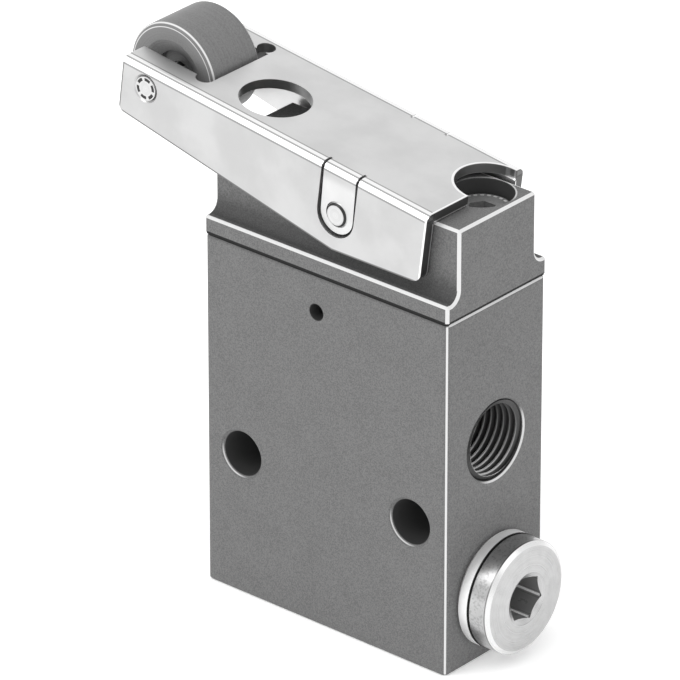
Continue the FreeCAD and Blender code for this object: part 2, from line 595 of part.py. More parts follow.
def make_pivot_pin():
    body = new_body("pivot_pin")
    radius = "dim.pin_diameter / 2"
    half = f"{LEVER_WIDTH} / 2"
    chamfer = "dim.pin_end_chamfer"
    turn(body, "Revolution", "pin", [
        ("0", f"-{half}"), (f"{radius} - {chamfer}", f"-{half}"), (radius, f"-{half} + {chamfer}"),
        (radius, f"{half} - {chamfer}"), (f"{radius} - {chamfer}", half), ("0", half)])
    body.Placement = FreeCAD.Placement(FreeCAD.Vector(), LYING_ALONG_Y)
    place(body, x="dim.pin_reach", z=PIN_LEVEL)
    return body


def make_channel():
    """Sheet folded to a channel that is open below, drawn with the pivot pin at the origin."""
    body = new_body("lever_channel")
    plate_top = "dim.plate_rise"
    side_view = new_sketch(body, "side_view", "XZ_Plane")
    outline(side_view, [
        (f"-{FRONT_REACH}", "-dim.front_drop"), ("0", "-dim.middle_drop"), (REAR_REACH, "-dim.rear_drop"),
        (REAR_REACH, plate_top), (f"-{FRONT_REACH}", plate_top)])
    extrude(body, "Pad", "side_view_pad", side_view, LEVER_WIDTH, side="Symmetric")

    top = value(plate_top)
    front = -value(FRONT_REACH)
    rear = value(REAR_REACH)
    dress(body, "Fillet", "front_corners", lambda edge: straight_along(edge, ALONG_Y)
          and near(edge.CenterOfMass.x, front) and edge.CenterOfMass.z < 0,
          "Radius", "dim.front_corner_round")
    dress(body, "Fillet", "rear_corners", lambda edge: straight_along(edge, ALONG_Y)
          and near(edge.CenterOfMass.x, rear) and edge.CenterOfMass.z < 0, "Radius", "dim.rear_corner_round")
    dress(body, "Fillet", "bends", lambda edge: straight_along(edge, ALONG_X)
          and near(edge.CenterOfMass.z, top), "Radius", "dim.bend_round")

    hollow = new_sketch(body, "hollow", "YZ_Plane")
    inside = f"({LEVER_WIDTH} / 2 - dim.sheet_thickness)"
    roof = "dim.plate_rise - dim.sheet_thickness"
    depth = "-dim.plate_rise - dim.middle_drop"
    outline(hollow, [(f"-{inside}", depth), (inside, depth), (inside, roof), (f"-{inside}", roof)])
    extrude(body, "Pocket", "hollow_cut", hollow, f"2 * {FRONT_REACH} + 2", side="Symmetric")
    roof_level = value(roof)
    wall = value(inside)
    dress(body, "Fillet", "inner_bends", lambda edge: straight_along(edge, ALONG_X)
          and near(edge.CenterOfMass.z, roof_level) and near(abs(edge.CenterOfMass.y), wall),
          "Radius", "dim.inner_bend_round")

    slot = new_sketch(body, "roller_slot", "XY_Plane", height=plate_top)
    half_slot = f"{SLOT_WIDTH} / 2"
    beyond = f"-{FRONT_REACH} - 1"
    outline(slot, [(beyond, f"-{half_slot}"), (f"-{SLOT_REACH}", f"-{half_slot}"),
                   (f"-{SLOT_REACH}", half_slot), (beyond, half_slot)])
    extrude(body, "Pocket", "roller_slot_cut", slot, "dim.sheet_thickness")
    front_ear = f"-{half_slot} + dim.front_relief_inset"
    back_ear = f"{half_slot} + dim.back_relief_outset"
    for name, reach in (("front", front_ear), ("back", back_ear)):
        ear = new_sketch(body, f"{name}_ear", "XY_Plane", height=plate_top)
        circle(ear, f"-{SLOT_REACH} - dim.relief_round", reach, "2 * dim.relief_round")
        extrude(body, "Pocket", f"{name}_ear_cut", ear, "dim.sheet_thickness")

    access = new_sketch(body, "access_hole", "XY_Plane", height=plate_top)
    circle(access, f"-{SCREW_REACH} - dim.pin_reach - dim.access_lead",
           f"-{SCREW_OFFSET} + dim.access_inset", "dim.access_bore")
    extrude(body, "Pocket", "access_hole_cut", access, "dim.sheet_thickness")
    notch = new_sketch(body, "notch", "XY_Plane", height=plate_top)
    circle(notch, f"{SCREW_REACH} - dim.pin_reach + dim.notch_lead",
           f"{inside} - dim.notch_bore / 2", "dim.notch_bore")
    extrude(body, "Pocket", "notch_cut", notch, "dim.sheet_thickness")
    return body


def make_tongue_window():
    """Room for a tongue and the slit round it, through both side walls and round the bends into the plate."""
    body = new_body("tongue_window")
    window = new_sketch(body, "window", "XZ_Plane")
    half = "(dim.tongue_width / 2 + dim.tongue_slit)"
    top = "dim.plate_rise + 1"
    outline(window, [(f"-{half}", "0"), (half, "0"), (half, top), (f"-{half}", top)])
    extrude(body, "Pad", "window_pad", window, f"{LEVER_WIDTH} + 2", side="Symmetric")
    end = new_sketch(body, "end", "XZ_Plane")
    circle(end, "0", "0", "dim.tongue_width + 2 * dim.tongue_slit")
    extrude(body, "Pad", "end_pad", end, f"{LEVER_WIDTH} + 2", side="Symmetric")
    between = new_sketch(body, "between_roots", "XZ_Plane")
    reach = "dim.tongue_width"
    outline(between, [(f"-{reach}", f"-{reach}"), (reach, f"-{reach}"),
                      (reach, f"{top} + 1"), (f"-{reach}", f"{top} + 1")])
    extrude(body, "Pocket", "between_roots_cut", between, f"{LEVER_WIDTH} - 2 * {TONGUE_ROOT}",
            side="Symmetric")
    return body


def make_tongue():
    """Front tongue: out of the plate, round the bend and down, leaning in until it is beside the head."""
    body = new_body("front_tongue")
    section = new_sketch(body, "section", "YZ_Plane")
    side = f"-{LEVER_WIDTH} / 2"
    root = f"{side} + {TONGUE_ROOT}"
    top = "dim.plate_rise"
    under = f"{top} - dim.sheet_thickness"
    tip = "-dim.tongue_width / 2"
    outline(section, [
        (root, top), (side, top), (f"{side} + {TONGUE_LEAN}", tip),
        (f"{side} + {TONGUE_LEAN} + dim.sheet_thickness", tip),
        (f"{side} + {TONGUE_BEND_LEAN} + dim.sheet_thickness", under), (root, under)])
    extrude(body, "Pad", "section_pad", section, "dim.tongue_width", side="Symmetric")
    outer = value(side)
    inner = value(f"{side} + {TONGUE_BEND_LEAN} + dim.sheet_thickness")
    lowest = value(tip)
    dress(body, "Fillet", "end", lambda edge: straight_along(edge, ALONG_Y)
          and near(edge.CenterOfMass.z, lowest), "Radius", "dim.tongue_end_share * dim.tongue_width")
    dress(body, "Fillet", "outer_bend", lambda edge: straight_along(edge, ALONG_X)
          and near(edge.CenterOfMass.y, outer), "Radius", "dim.bend_round")
    dress(body, "Fillet", "inner_bend", lambda edge: straight_along(edge, ALONG_X)
          and near(edge.CenterOfMass.y, inner), "Radius", "dim.inner_bend_round")
    return body


def make_countersunk_rod(name, diameter, reach="0", rise="0"):
    """Rod across the lever with a cone at each wall, as the tool that drills and countersinks a hole."""
    body = new_body(name)
    radius = f"({diameter} / 2 + dim.sliding_clearance)"
    half = f"({LEVER_WIDTH} / 2)"
    chamfer = "dim.pin_hole_chamfer"
    wide = f"{radius} + {chamfer}"
    turn(body, "Revolution", "drill", [
        ("0", f"-{half} - 1"), (wide, f"-{half} - 1"), (wide, f"-{half}"), (radius, f"-{half} + {chamfer}"),
        (radius, f"{half} - {chamfer}"), (wide, half), (wide, f"{half} + 1"), ("0", f"{half} + 1")])
    body.Placement = FreeCAD.Placement(FreeCAD.Vector(), LYING_ALONG_Y)
    place(body, x=reach, z=rise)
    return body


def make_lever():
    """Channel with its two bearing tongues and the holes for pin and axle, tilted as it rests on the head."""
    windows = doc.addObject("Part::Cut", "lever_with_windows")
    windows.Base = make_channel()
    windows.Tool = make_tongue_window()
    front = make_tongue()
    back = doc.addObject("Part::Mirroring", "back_tongue")
    back.Source = front
    back.Normal = ALONG_Y
    folded = doc.addObject("Part::MultiFuse", "lever_with_tongues")
    folded.Shapes = [windows, front, back]
    drilled = doc.addObject("Part::Cut", "lever_with_pin_holes")
    drilled.Base = folded
    drilled.Tool = make_countersunk_rod("pin_drill", "dim.pin_diameter")
    lever = doc.addObject("Part::Cut", "lever")
    lever.Label = "lever"
    lever.Base = drilled
    lever.Tool = make_countersunk_rod("axle_drill", "dim.axle_rivet", f"-{AXLE_REACH}", "dim.axle_rise")
    lever.Placement = FreeCAD.Placement(FreeCAD.Vector(), FreeCAD.Rotation(ALONG_Y, 1))
    under = "(dim.plate_rise - dim.sheet_thickness)"
    stop = "(dim.pin_drop + dim.rest_gap)"
    lever.setExpression("Placement.Rotation.Angle",
                        f"acos({stop} / sqrt({REAR_REACH} ^ 2 + {under} ^ 2)) - atan2({REAR_REACH}; {under})")
    place(lever, x="dim.pin_reach", z=PIN_LEVEL)
    doc.recompute()
    return lever


def make_on_axle(name, corners, offset="0"):
    """Turned piece on the roller's axle, which moves with the lever's own placement."""
    piece = new_body(f"{name}_turned")
    turn(piece, "Revolution", "shape", corners)
    piece.Placement = FreeCAD.Placement(FreeCAD.Vector(), LYING_ALONG_Y)
    place(piece, x=f"-{AXLE_REACH}", y=offset, z="dim.axle_rise")
    carried = doc.addObject("Part::Compound", name)
    carried.Label = name
    carried.Links = [piece]
    carried.setExpression("Placement", "lever.Placement")
    return carried


def make_roller_axle():
    radius = "dim.axle_diameter / 2"
    rivet = "dim.axle_rivet / 2"
    half = f"{LEVER_WIDTH} / 2"
    return make_on_axle("roller_axle", [
        ("0", f"-{half}"), (rivet, f"-{half}"), (rivet, f"-{half} + dim.axle_rivet_length"),
        (radius, f"-{half} + dim.sheet_thickness"), (radius, f"{half} - dim.sheet_thickness"),
        (rivet, f"{half} - dim.axle_rivet_length"), (rivet, half), ("0", half)])


def make_roller():
    """Wheel of round section with a dished side on each face, drawn along its axle from its own middle."""
    bore = "dim.axle_diameter / 2 + dim.sliding_clearance"
    rim = "dim.roller_diameter / 2"
    half = f"{ROLLER_WIDTH} / 2"
    edge = f"{rim} - dim.roller_bevel"
    lip = f"{rim} - dim.roller_bevel - dim.roller_rim"
    hub = "dim.roller_hub / 2"
    dish = f"{half} - dim.roller_dish"
    deep = f"{half} - dim.roller_dish - dim.roller_hub_step"
    upper = [(rim, f"{half} - dim.roller_bevel_width"), (edge, half), (lip, half), (hub, dish), (hub, deep),
             (bore, deep)]
    lower = [(radius, f"-({height})") for radius, height in reversed(upper)]
    return make_on_axle("roller", lower + upper, "dim.roller_offset")


# The blanking plug closes the right end of the supply gallery.

def make_blanking_plug():
    body = new_body("blanking_plug")
    thread = "dim.port_bore / 2 - dim.sliding_clearance"
    collar = "dim.plug_collar / 2"
    collar_floor = "dim.plug_seal_thickness"
    collar_top = "dim.plug_seal_thickness + dim.plug_collar_thickness"
    mouth = "dim.plug_socket_mouth / 2"
    turn(body, "Revolution", "plug", [
        ("0", "-dim.plug_length"), (thread, "-dim.plug_length"), (thread, collar_floor),
        (collar, collar_floor),
        (collar, f"{collar_top} - dim.plug_face_rise - dim.plug_cone_width"),
        (f"{collar} - dim.plug_cone_drop", f"{collar_top} - dim.plug_face_rise"),
        (mouth, collar_top), ("0", collar_top)])
    socket = new_sketch(body, "socket", "XY_Plane", height=collar_top)
    hexagon(socket, "dim.plug_socket", "dim.plug_socket_turn")
    extrude(body, "Pocket", "socket_cut", socket, "dim.plug_socket_depth")
    mouth_depth = f"{collar_top} - dim.plug_socket_mouth_depth"
    turn(body, "Groove", "socket_mouth", [
        ("0", mouth_depth), ("dim.plug_socket / 2", mouth_depth), (mouth, collar_top), ("0", collar_top)])
    body.Placement = FreeCAD.Placement(FreeCAD.Vector(), LYING_ALONG_X)
    place(body, x="dim.body_length / 2", z="dim.supply_level")
    return body


def make_plug_seal():
    body = new_body("plug_seal")
    inside = "dim.port_bore / 2 + dim.sliding_clearance"
    outside = "dim.plug_seal_outside / 2"
    top = "dim.plug_seal_thickness"
    turn(body, "Revolution", "ring", [
        (inside, "0"), (f"{outside} - dim.plug_seal_chamfer", "0"), (outside, "dim.plug_seal_chamfer"),
        (outside, top), (inside, top)])
    body.Placement = FreeCAD.Placement(FreeCAD.Vector(), LYING_ALONG_X)
    place(body, x="dim.body_length / 2", z="dim.supply_level")
    return body


lever = make_lever()
stem_hole = "dim.stem_diameter + 2 * dim.fitting_clearance"
spring_gap = "dim.seat_gap"
pilot_floor = f"{GASKET_TOP} + dim.pilot_cap_thickness"
poppet_floor = f"{PILOT_SEAT_LEVEL} - dim.seat_gap - dim.pilot_poppet_thickness"
pieces = [
    make_valve_body(),
    make_seat_sleeve(),
    make_valve_stem(),
    make_washer("inlet_seal", stem_hole, "dim.poppet_seal", "dim.poppet_seal_thickness", INLET_SEAL_LEVEL),
    make_washer("exhaust_seal", stem_hole, "dim.poppet_seal", "dim.poppet_seal_thickness",
                EXHAUST_SEAL_LEVEL),
    make_pilot_piston(),
    make_washer("piston_seal", "dim.chamber_bore - 2 * dim.sliding_clearance - 2 * dim.piston_seal_depth",
                "dim.chamber_bore - 2 * dim.sliding_clearance", "dim.piston_seal_width",
                f"{PISTON_TOP} - dim.piston_thickness / 2 - dim.piston_seal_width / 2"),
    make_washer("return_spring", "dim.return_spring_outside - 2 * dim.return_spring_wire",
                "dim.return_spring_outside", f"{STEM_FLANGE_LEVEL} - dim.bore_floor - 2 * {spring_gap}",
                f"dim.bore_floor + {spring_gap}"),
    make_head_gasket(),
    make_actuator_head(),
    make_head_screws(),
    make_tappet(),
    make_washer("tappet_bush", "dim.tappet_diameter + 2 * dim.sliding_clearance", "dim.bush_outside",
                "dim.bush_length", f"{BOSS_TOP} - dim.bush_length", "-dim.tappet_reach"),
    make_pilot_poppet(),
    make_washer("pilot_spring", "dim.pilot_spring_outside - 2 * dim.pilot_spring_wire",
                "dim.pilot_spring_outside", f"{poppet_floor} - ({pilot_floor}) - 2 * {spring_gap}",
                f"{pilot_floor} + {spring_gap}", "-dim.tappet_reach"),
    make_pilot_cap(),
    make_pivot_pin(),
    lever,
    make_roller_axle(),
    make_roller(),
    make_blanking_plug(),
    make_plug_seal(),
]
doc.recompute()

for item in doc.Objects:
    if "Invalid" in item.State or "Error" in item.State:
        raise RuntimeError(f"{item.Label} failed: {item.State}")
for piece in pieces:
    if piece.Shape.isNull() or not piece.Shape.isValid():
        raise RuntimeError(f"{piece.Label} has no valid shape")

os.makedirs("parts", exist_ok=True)
for piece in pieces:
    piece.Shape.exportStep(f"parts/{piece.Label}.step")
    box = piece.Shape.BoundBox
    print(f"{piece.Label}: {len(piece.Shape.Solids)} solid, {piece.Shape.Volume:.1f} mm3, "
          f"X {box.XMin:.2f} to {box.XMax:.2f}, Y {box.YMin:.2f} to {box.YMax:.2f}, "
          f"Z {box.ZMin:.2f} to {box.ZMax:.2f}")
print("lever rests at", round(value(LEVER_TILT), 3), "degrees")
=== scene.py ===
# %% [markdown]
# # A roller lever air valve
# A machine part runs against the roller, the lever tips round its pin, and its middle presses a
# small tappet that lets the air through. The valve is a milled light alloy block with a stepped
# head, a folded sheet steel lever, a plastic roller and a nickel plated plug.
#
# The shapes with real sizes come as solids that are already in place. This lesson gives them their
# finishes and adds what a solid model leaves out: the threads of the two ports and the wound springs.

import math

import bmesh
import bpy
from mathutils import Matrix, Vector


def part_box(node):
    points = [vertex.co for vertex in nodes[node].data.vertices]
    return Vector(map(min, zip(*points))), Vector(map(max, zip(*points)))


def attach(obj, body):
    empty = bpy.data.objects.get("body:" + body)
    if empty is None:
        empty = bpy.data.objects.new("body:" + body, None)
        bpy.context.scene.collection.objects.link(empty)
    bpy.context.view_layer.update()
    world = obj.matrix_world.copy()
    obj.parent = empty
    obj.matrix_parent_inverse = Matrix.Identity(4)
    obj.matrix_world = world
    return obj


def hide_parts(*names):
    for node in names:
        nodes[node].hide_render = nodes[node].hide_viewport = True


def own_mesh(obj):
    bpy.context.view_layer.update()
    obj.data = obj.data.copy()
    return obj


MM = 0.001
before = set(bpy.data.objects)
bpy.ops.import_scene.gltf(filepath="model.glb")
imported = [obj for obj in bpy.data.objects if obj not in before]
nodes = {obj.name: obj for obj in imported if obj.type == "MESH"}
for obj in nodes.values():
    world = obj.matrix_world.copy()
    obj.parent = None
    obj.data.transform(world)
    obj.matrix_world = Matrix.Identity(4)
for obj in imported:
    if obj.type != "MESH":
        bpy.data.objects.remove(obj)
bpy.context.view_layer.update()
scene = bpy.context.scene

# %% [markdown]
# ## The camera
# The valve is seen from its right front corner, a little from above. Its upright edges stay almost
# parallel in the picture, which is what a long lens does from far away. A short lens nearby would
# make the near corner bulge, so the lens is over 400 mm long and stands 0.9 m off.

# %% Camera
target = Vector((-3.88, -1.43, 32.83)) * MM
toward_camera = Vector((0.5811, -0.6743, 0.4558)).normalized()
lens = bpy.data.cameras.new("long_lens")
lens.lens = 421
lens.sensor_width = 36
lens.clip_start = 0.05
lens.clip_end = 20
camera = bpy.data.objects.new("camera", lens)
camera.location = target + toward_camera * 0.9025
camera.rotation_mode = "QUATERNION"
camera.rotation_quaternion = (-toward_camera).to_track_quat("-Z", "Y")
scene.collection.objects.link(camera)
scene.camera = camera
print("camera", round((camera.location - target).length, 3), "m from the valve")

# %% [markdown]
# ## Shader sums in plain Python
# A finish such as blasted metal is a sum of small effects: a tone, a grain, a worn edge. Each one is
# a chain of nodes, which is long to write out. A `Signal` stands for what runs along one link, and
# its operators add the Math nodes, so `1 - edge * 0.5` reads as it would on paper. A `Finish` is one
# material, and its `add` makes any other node: first the settings, then what goes into its sockets.
# A `vector_math` does for a place what `math` does for a number.

# %% Signals and finishes
class Signal:
    """What runs along a link of a finish, summed as plain numbers are."""

    def __init__(self, finish, socket):
        self.finish = finish
        self.socket = socket

    def out(self, name):
        """Another output of the same node."""
        return Signal(self.finish, self.socket.node.outputs[name])

    def math(self, operation, first, second):
        """Any Math node; the second number is ignored where the operation takes one."""
        return self.finish.add("ShaderNodeMath", {"operation": operation}, {0: first, 1: second})

    def __add__(self, other):
        return self.math("ADD", self, other)

    def __radd__(self, other):
        return self.math("ADD", other, self)

    def __sub__(self, other):
        return self.math("SUBTRACT", self, other)

    def __rsub__(self, other):
        return self.math("SUBTRACT", other, self)

    def __mul__(self, other):
        return self.math("MULTIPLY", self, other)

    def __rmul__(self, other):
        return self.math("MULTIPLY", other, self)

    def __abs__(self):
        return self.math("ABSOLUTE", self, 0.0)


class Finish:
    """One material: a Principled shader with the nodes that drive it."""

    def __init__(self, name, metallic=0.0, roughness=0.5):
        self.material = bpy.data.materials.new(name)
        self.material.use_nodes = True
        self.shader = self.material.node_tree.nodes["Principled BSDF"]
        self.set("Metallic", metallic)
        self.set("Roughness", roughness)
        self.place = self.add("ShaderNodeTexCoord").out("Object")

    def feed(self, socket, value):
        """Links a signal to the socket, or sets a plain value."""
        if isinstance(value, Signal):
            self.material.node_tree.links.new(value.socket, socket)
        else:
            socket.default_value = value

    def set(self, name, value):
        """Drives one of the shader's own sockets."""
        self.feed(self.shader.inputs[name], value)

    def add(self, kind, settings=None, inputs=None, output=0):
        """A new node with its settings and inputs; gives the signal of one output."""
        node = self.material.node_tree.nodes.new(kind)
        for name, value in (settings or {}).items():
            setattr(node, name, value)
        for name, value in (inputs or {}).items():
            self.feed(node.inputs[name], value)
        return Signal(self, node.outputs[output])

    def vector_math(self, operation, first, second=(0, 0, 0)):
        """Any Vector Math node; a distance is on its Value output."""
        return self.add("ShaderNodeVectorMath", {"operation": operation}, {0: first, 1: second})


print("the shader sums are ready")

# %% [markdown]
# ## Words for a finish
# Every finish below uses the same few ideas. `rise` goes softly from 0 to 1 between two values and
# `fall` goes from 1 to 0. `blend` mixes two tones. `grain` is a noise, and stretching it turns spots
# into brush lines. `relief` makes a height into a bump. The patterns read Object coordinates, so
# they stay on a piece as it moves.

# %% Helpers of the finishes
def grey(shade):
    """Linear colour of a grey that reads as this shade, 0 to 255, on a screen."""
    level = (shade / 255) ** 2.2
    return (level, level, level, 1.0)


def rise(value, low, high):
    """0 below the low value, 1 above the high one, and soft between them."""
    return value.finish.add("ShaderNodeMapRange", {"interpolation_type": "SMOOTHSTEP"},
                            {"Value": value, "From Min": low, "From Max": high})


def fall(value, low, high):
    """1 below the low value, 0 above the high one, and soft between them."""
    return 1 - rise(value, low, high)


def blend(share, first, second):
    """The first tone where the share is 0, and the second where it is 1."""
    return share.finish.add("ShaderNodeMix", {"data_type": "RGBA"},
                            {0: share, 6: first, 7: second}, output=2)


def grain(finish, size, stretch=(1, 1, 1), turn=0.0, detail=3.0):
    """Noise with spots of this size in metres, longer along an axis where stretch is above 1."""
    spots = finish.add("ShaderNodeMapping", {"vector_type": "TEXTURE"}, {
        "Vector": finish.place, "Rotation": (0, turn, 0), "Scale": tuple(size * s for s in stretch)})
    return finish.add("ShaderNodeTexNoise", {}, {"Vector": spots, "Scale": 1.0, "Detail": detail})


def relief(finish, height, strength, depth):
    """Bends the light as if the surface had this height, up to the depth in metres."""
    finish.set("Normal", finish.add("ShaderNodeBump", {}, {
        "Strength": strength, "Distance": depth, "Height": height}))


print("grey 128 is", round(grey(128)[0], 3), "in light")

# %% [markdown]
# ## Painted highlights on the edges
# The block's edges are broken with a small milled chamfer after blasting, and a painted highlight
# shows them as thin bright lines. The chamfer is in the solid, but its bright tone is painted. A box
# edge is where two of the three distances to the box's sides are small at once, so `box_edges`
# counts the small ones. That needs no unwrapped map and follows the solid's own corners. A side that
# has no bright edge is put FAR away, and CORNER is how wide a chamfer's line is along X, Y and Z.

# %% Masks for straight edges
FAR = 1.0
CORNER = (0.33 * MM, 0.33 * MM, 0.27 * MM)


def along(finish, axis, place=None):
    """The distance along X, Y or Z, in metres."""
    return finish.add("ShaderNodeSeparateXYZ", {}, {0: place or finish.place}).out(axis)


def box_edges(finish, low, high, reach, place=None):
    """1 near an edge of the box; reach is how near, along X, Y and Z, and each is above 0."""
    centre = tuple((a + b) / 2 for a, b in zip(low, high))
    half = tuple((b - a) / 2 for a, b in zip(low, high))
    size = finish.vector_math("ABSOLUTE", finish.vector_math("SUBTRACT", place or finish.place, centre))
    inward = finish.vector_math("SUBTRACT", half, size)
    close = [fall(abs(along(finish, axis, inward)), r * 0.9, r * 1.1) for axis, r in zip("XYZ", reach)]
    return rise(close[0] + close[1] + close[2], 1.4, 1.6)


print("straight edge masks are ready")

# %% [markdown]
# Round marks need the distance from an axis. `hole_wall` marks all that is inside a hole, and `band`
# and `ring` mark a stripe. `angle_round` says where on the ring a place is, and a sine of that angle
# makes teeth or corners. None of these masks ends along its axis, so where one is used it is also
# cut to its own side of the piece.

# %% Masks for holes and rings
def round_from(finish, centre, axis, place=None):
    """Distance from a line along X, Y or Z through the centre, in metres."""
    across = tuple(0.0 if name == axis else 1.0 for name in "XYZ")
    flat_centre = tuple(c * a for c, a in zip(centre, across))
    flat = finish.vector_math("MULTIPLY", place or finish.place, across)
    return finish.vector_math("DISTANCE", flat, flat_centre).out("Value")


def hole_wall(finish, centre, axis, radius):
    """1 within the radius of the hole's axis, and 0 outside."""
    return fall(round_from(finish, centre, axis), radius, radius + 0.03 * MM)


def band(value, low, high, soft=0.04 * MM):
    """1 between two values, with soft rims."""
    return rise(value, low, low + soft) - rise(value, high, high + soft)


def ring(finish, centre, axis, low, high):
    """1 between two radii round the axis, with soft rims."""
    return band(round_from(finish, centre, axis), low, high)


def angle_round(finish, centre, across, up):
    """The angle round the centre, in radians, from the axis across towards the axis up."""
    opposite = along(finish, up) - centre["XYZ".index(up)]
    adjacent = along(finish, across) - centre["XYZ".index(across)]
    return opposite.math("ARCTAN2", opposite, adjacent)


print("hole and ring masks are ready")

# %% [markdown]
# ## Blasted light alloy
# Block and head are the same alloy, blasted to an even mid grey. Close up it has a fine grain like
# felt, with darker and lighter specks, and hardly any shine. The walls of the drilled holes were
# cut after blasting, and little light gets in, so a painted shade makes them almost black. Tone and
# grain are noise, the grain is also a bump, and each piece brings its own masks for painted shade and
# painted highlights.

# %% The alloy
def blasted(name, shade, holes, shadow, edges):
    """A blasted finish; holes and shadow make masks of painted shade, and edges one of painted highlights.
    """
    finish = Finish(name, roughness=0.6)
    specks = grain(finish, 0.16 * MM, detail=2.0)
    clouds = grain(finish, 4 * MM)
    tone = rise(specks * 0.88 + clouds * 0.12, 0.3, 0.7)
    skin = blend(tone, grey(shade - 12), grey(shade + 12))
    # Painted shade where the shadow and hole masks are, and painted highlights on the edges.
    dark = blend(shadow(finish), skin, grey(shade * 0.2))
    dark = blend(holes(finish), dark, grey(shade * 0.6))
    edge = edges(finish)
    finish.set("Base Color", blend(edge, dark, grey(216)))
    finish.set("Roughness", 0.62 - edge * 0.2 + specks * 0.06)
    relief(finish, specks, 0.35, 0.03 * MM)
    finish.shader.inputs["Specular IOR Level"].default_value = 0.35
    return finish


print("the alloy waits for its masks")

# %% [markdown]
# The block has painted highlights down its corners and along the top of its ends. Its holes are
# the two for the fixing screws, a port in each end and a small vent in the front, with painted shade on
# their walls. The lower side of a countersink faces up to the light, so a painted highlight shows it as a
# thin light crescent.

# %% The block
body_low, body_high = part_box("valve_body")
OUTLET = (0, 0, 26.9 * MM)
SUPPLY = (0, 0, 8.3 * MM)
PORT_RADIUS = 4.9 * MM
VENT = (-1.2 * MM, 0, 40 * MM)
VENT_RADIUS = 1.05 * MM
FIXING_HOLES = [(side * 12.6 * MM, 0, 18 * MM) for side in (-1, 1)]
FIXING_RADIUS = 2.76 * MM


def body_hole_shade(finish):
    """Painted shade on the walls of the holes; the outlet is only in the right half and the vent only in
    the front.
    """
    walls = [hole_wall(finish, centre, "Y", FIXING_RADIUS) for centre in FIXING_HOLES]
    outlet = hole_wall(finish, OUTLET, "X", PORT_RADIUS) * rise(along(finish, "X"), 0.0, 1 * MM)
    vent = hole_wall(finish, VENT, "Y", VENT_RADIUS) * fall(along(finish, "Y"), -1 * MM, 0.0)
    return walls[0] + walls[1] + outlet + vent + hole_wall(finish, SUPPLY, "X", PORT_RADIUS)


def body_shadow(finish):
    """Painted shade darkens the band just under the joint, most of all its broken edge."""
    up = along(finish, "Z")
    joint = rise(up, body_high.z - 0.13 * MM, body_high.z - 0.1 * MM)
    return rise(up, body_high.z - 0.6 * MM, body_high.z) * 0.12 + joint * 0.88


def port_mouth(finish, centre, side):
    """A painted highlight on the lower part of a port's countersink, on one end of the block."""
    sink = ring(finish, centre, "X", PORT_RADIUS, PORT_RADIUS + 0.18 * MM)
    own_half = rise(along(finish, "X") * side, 0.0, 1 * MM)
    downward = along(finish, "Y") * side - along(finish, "Z") + centre[2]
    return sink * own_half * rise(downward, 0.5 * MM, 5 * MM)


def body_highlights(finish):
    """Painted highlights on the upright corners, the top of the end faces, and the lower side of each
    countersink.
    """
    upright = box_edges(finish, (body_low.x, body_low.y, -FAR), (body_high.x, body_high.y, FAR), CORNER)
    top = box_edges(finish, (body_low.x, -FAR, -FAR), (body_high.x, FAR, body_high.z), (0.22 * MM,) * 3)
    sinks = []
    for centre in FIXING_HOLES:
        toward_corner = centre[0] - along(finish, "X") + centre[2] - along(finish, "Z")
        sink = ring(finish, centre, "Y", FIXING_RADIUS + 0.08 * MM, FIXING_RADIUS + 0.2 * MM)
        sinks.append(sink * rise(toward_corner, 1.4 * MM, 3.8 * MM) * 0.7)
    mouths = port_mouth(finish, OUTLET, 1) + port_mouth(finish, SUPPLY, -1)
    return rise(upright + top + sinks[0] + sinks[1] + mouths, 0.0, 1.0)


block_finish = blasted("blasted_block", 104, body_hole_shade, body_shadow, body_highlights)
print("block", [round(v / MM, 1) for v in body_high - body_low], "mm")

# %% [markdown]
# The head is a foot as wide as the block and a narrower upper part, joined by a hollow round. Two
# recesses for its screws are sunk from the top. Painted shade darkens the foot and the hollow, and
# the joint with the gasket is a dark line of painted shade.

# %% Painted shade in the recesses, on the ledge and at the joint
head_low, head_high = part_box("actuator_head")
FOOT_TOP = 46.8 * MM
UPPER_HALF = 6.65 * MM
HOLLOW = 1.4 * MM
HEAD_SCREWS = [(side * 13.5 * MM, side * 2.5 * MM, 0) for side in (-1, 1)]
RECESS = 3.82 * MM


def head_recess_shade(finish):
    """Painted shade on the walls of the two screw recesses, below the head's top."""
    walls = [hole_wall(finish, centre, "Z", RECESS) for centre in HEAD_SCREWS]
    return (walls[0] + walls[1]) * fall(along(finish, "Z"), head_high.z - 0.1 * MM, head_high.z - 0.06 * MM)


def head_shadow(finish):
    """Painted shade on the ledge and in the hollow, fading up the side, and a dark line of painted shade at
    the joint.
    """
    up = along(finish, "Z")
    above_foot = rise(up, FOOT_TOP - 0.05 * MM, FOOT_TOP + 0.05 * MM)
    fade = above_foot * fall(up, FOOT_TOP, FOOT_TOP + 4.5 * MM)
    off_ends = fall(abs(along(finish, "X")), head_high.x - 0.3 * MM, head_high.x - 0.2 * MM)
    off_rim = fall(abs(along(finish, "Y")), head_high.y - 0.5 * MM, head_high.y - 0.2 * MM)
    joint = fall(up, head_low.z + 0.1 * MM, head_low.z + 0.13 * MM)
    return fade * off_ends * off_rim * 0.6 + joint


print("screw recesses at", [tuple(round(v / MM, 1) for v in centre[:2]) for centre in HEAD_SCREWS], "mm")
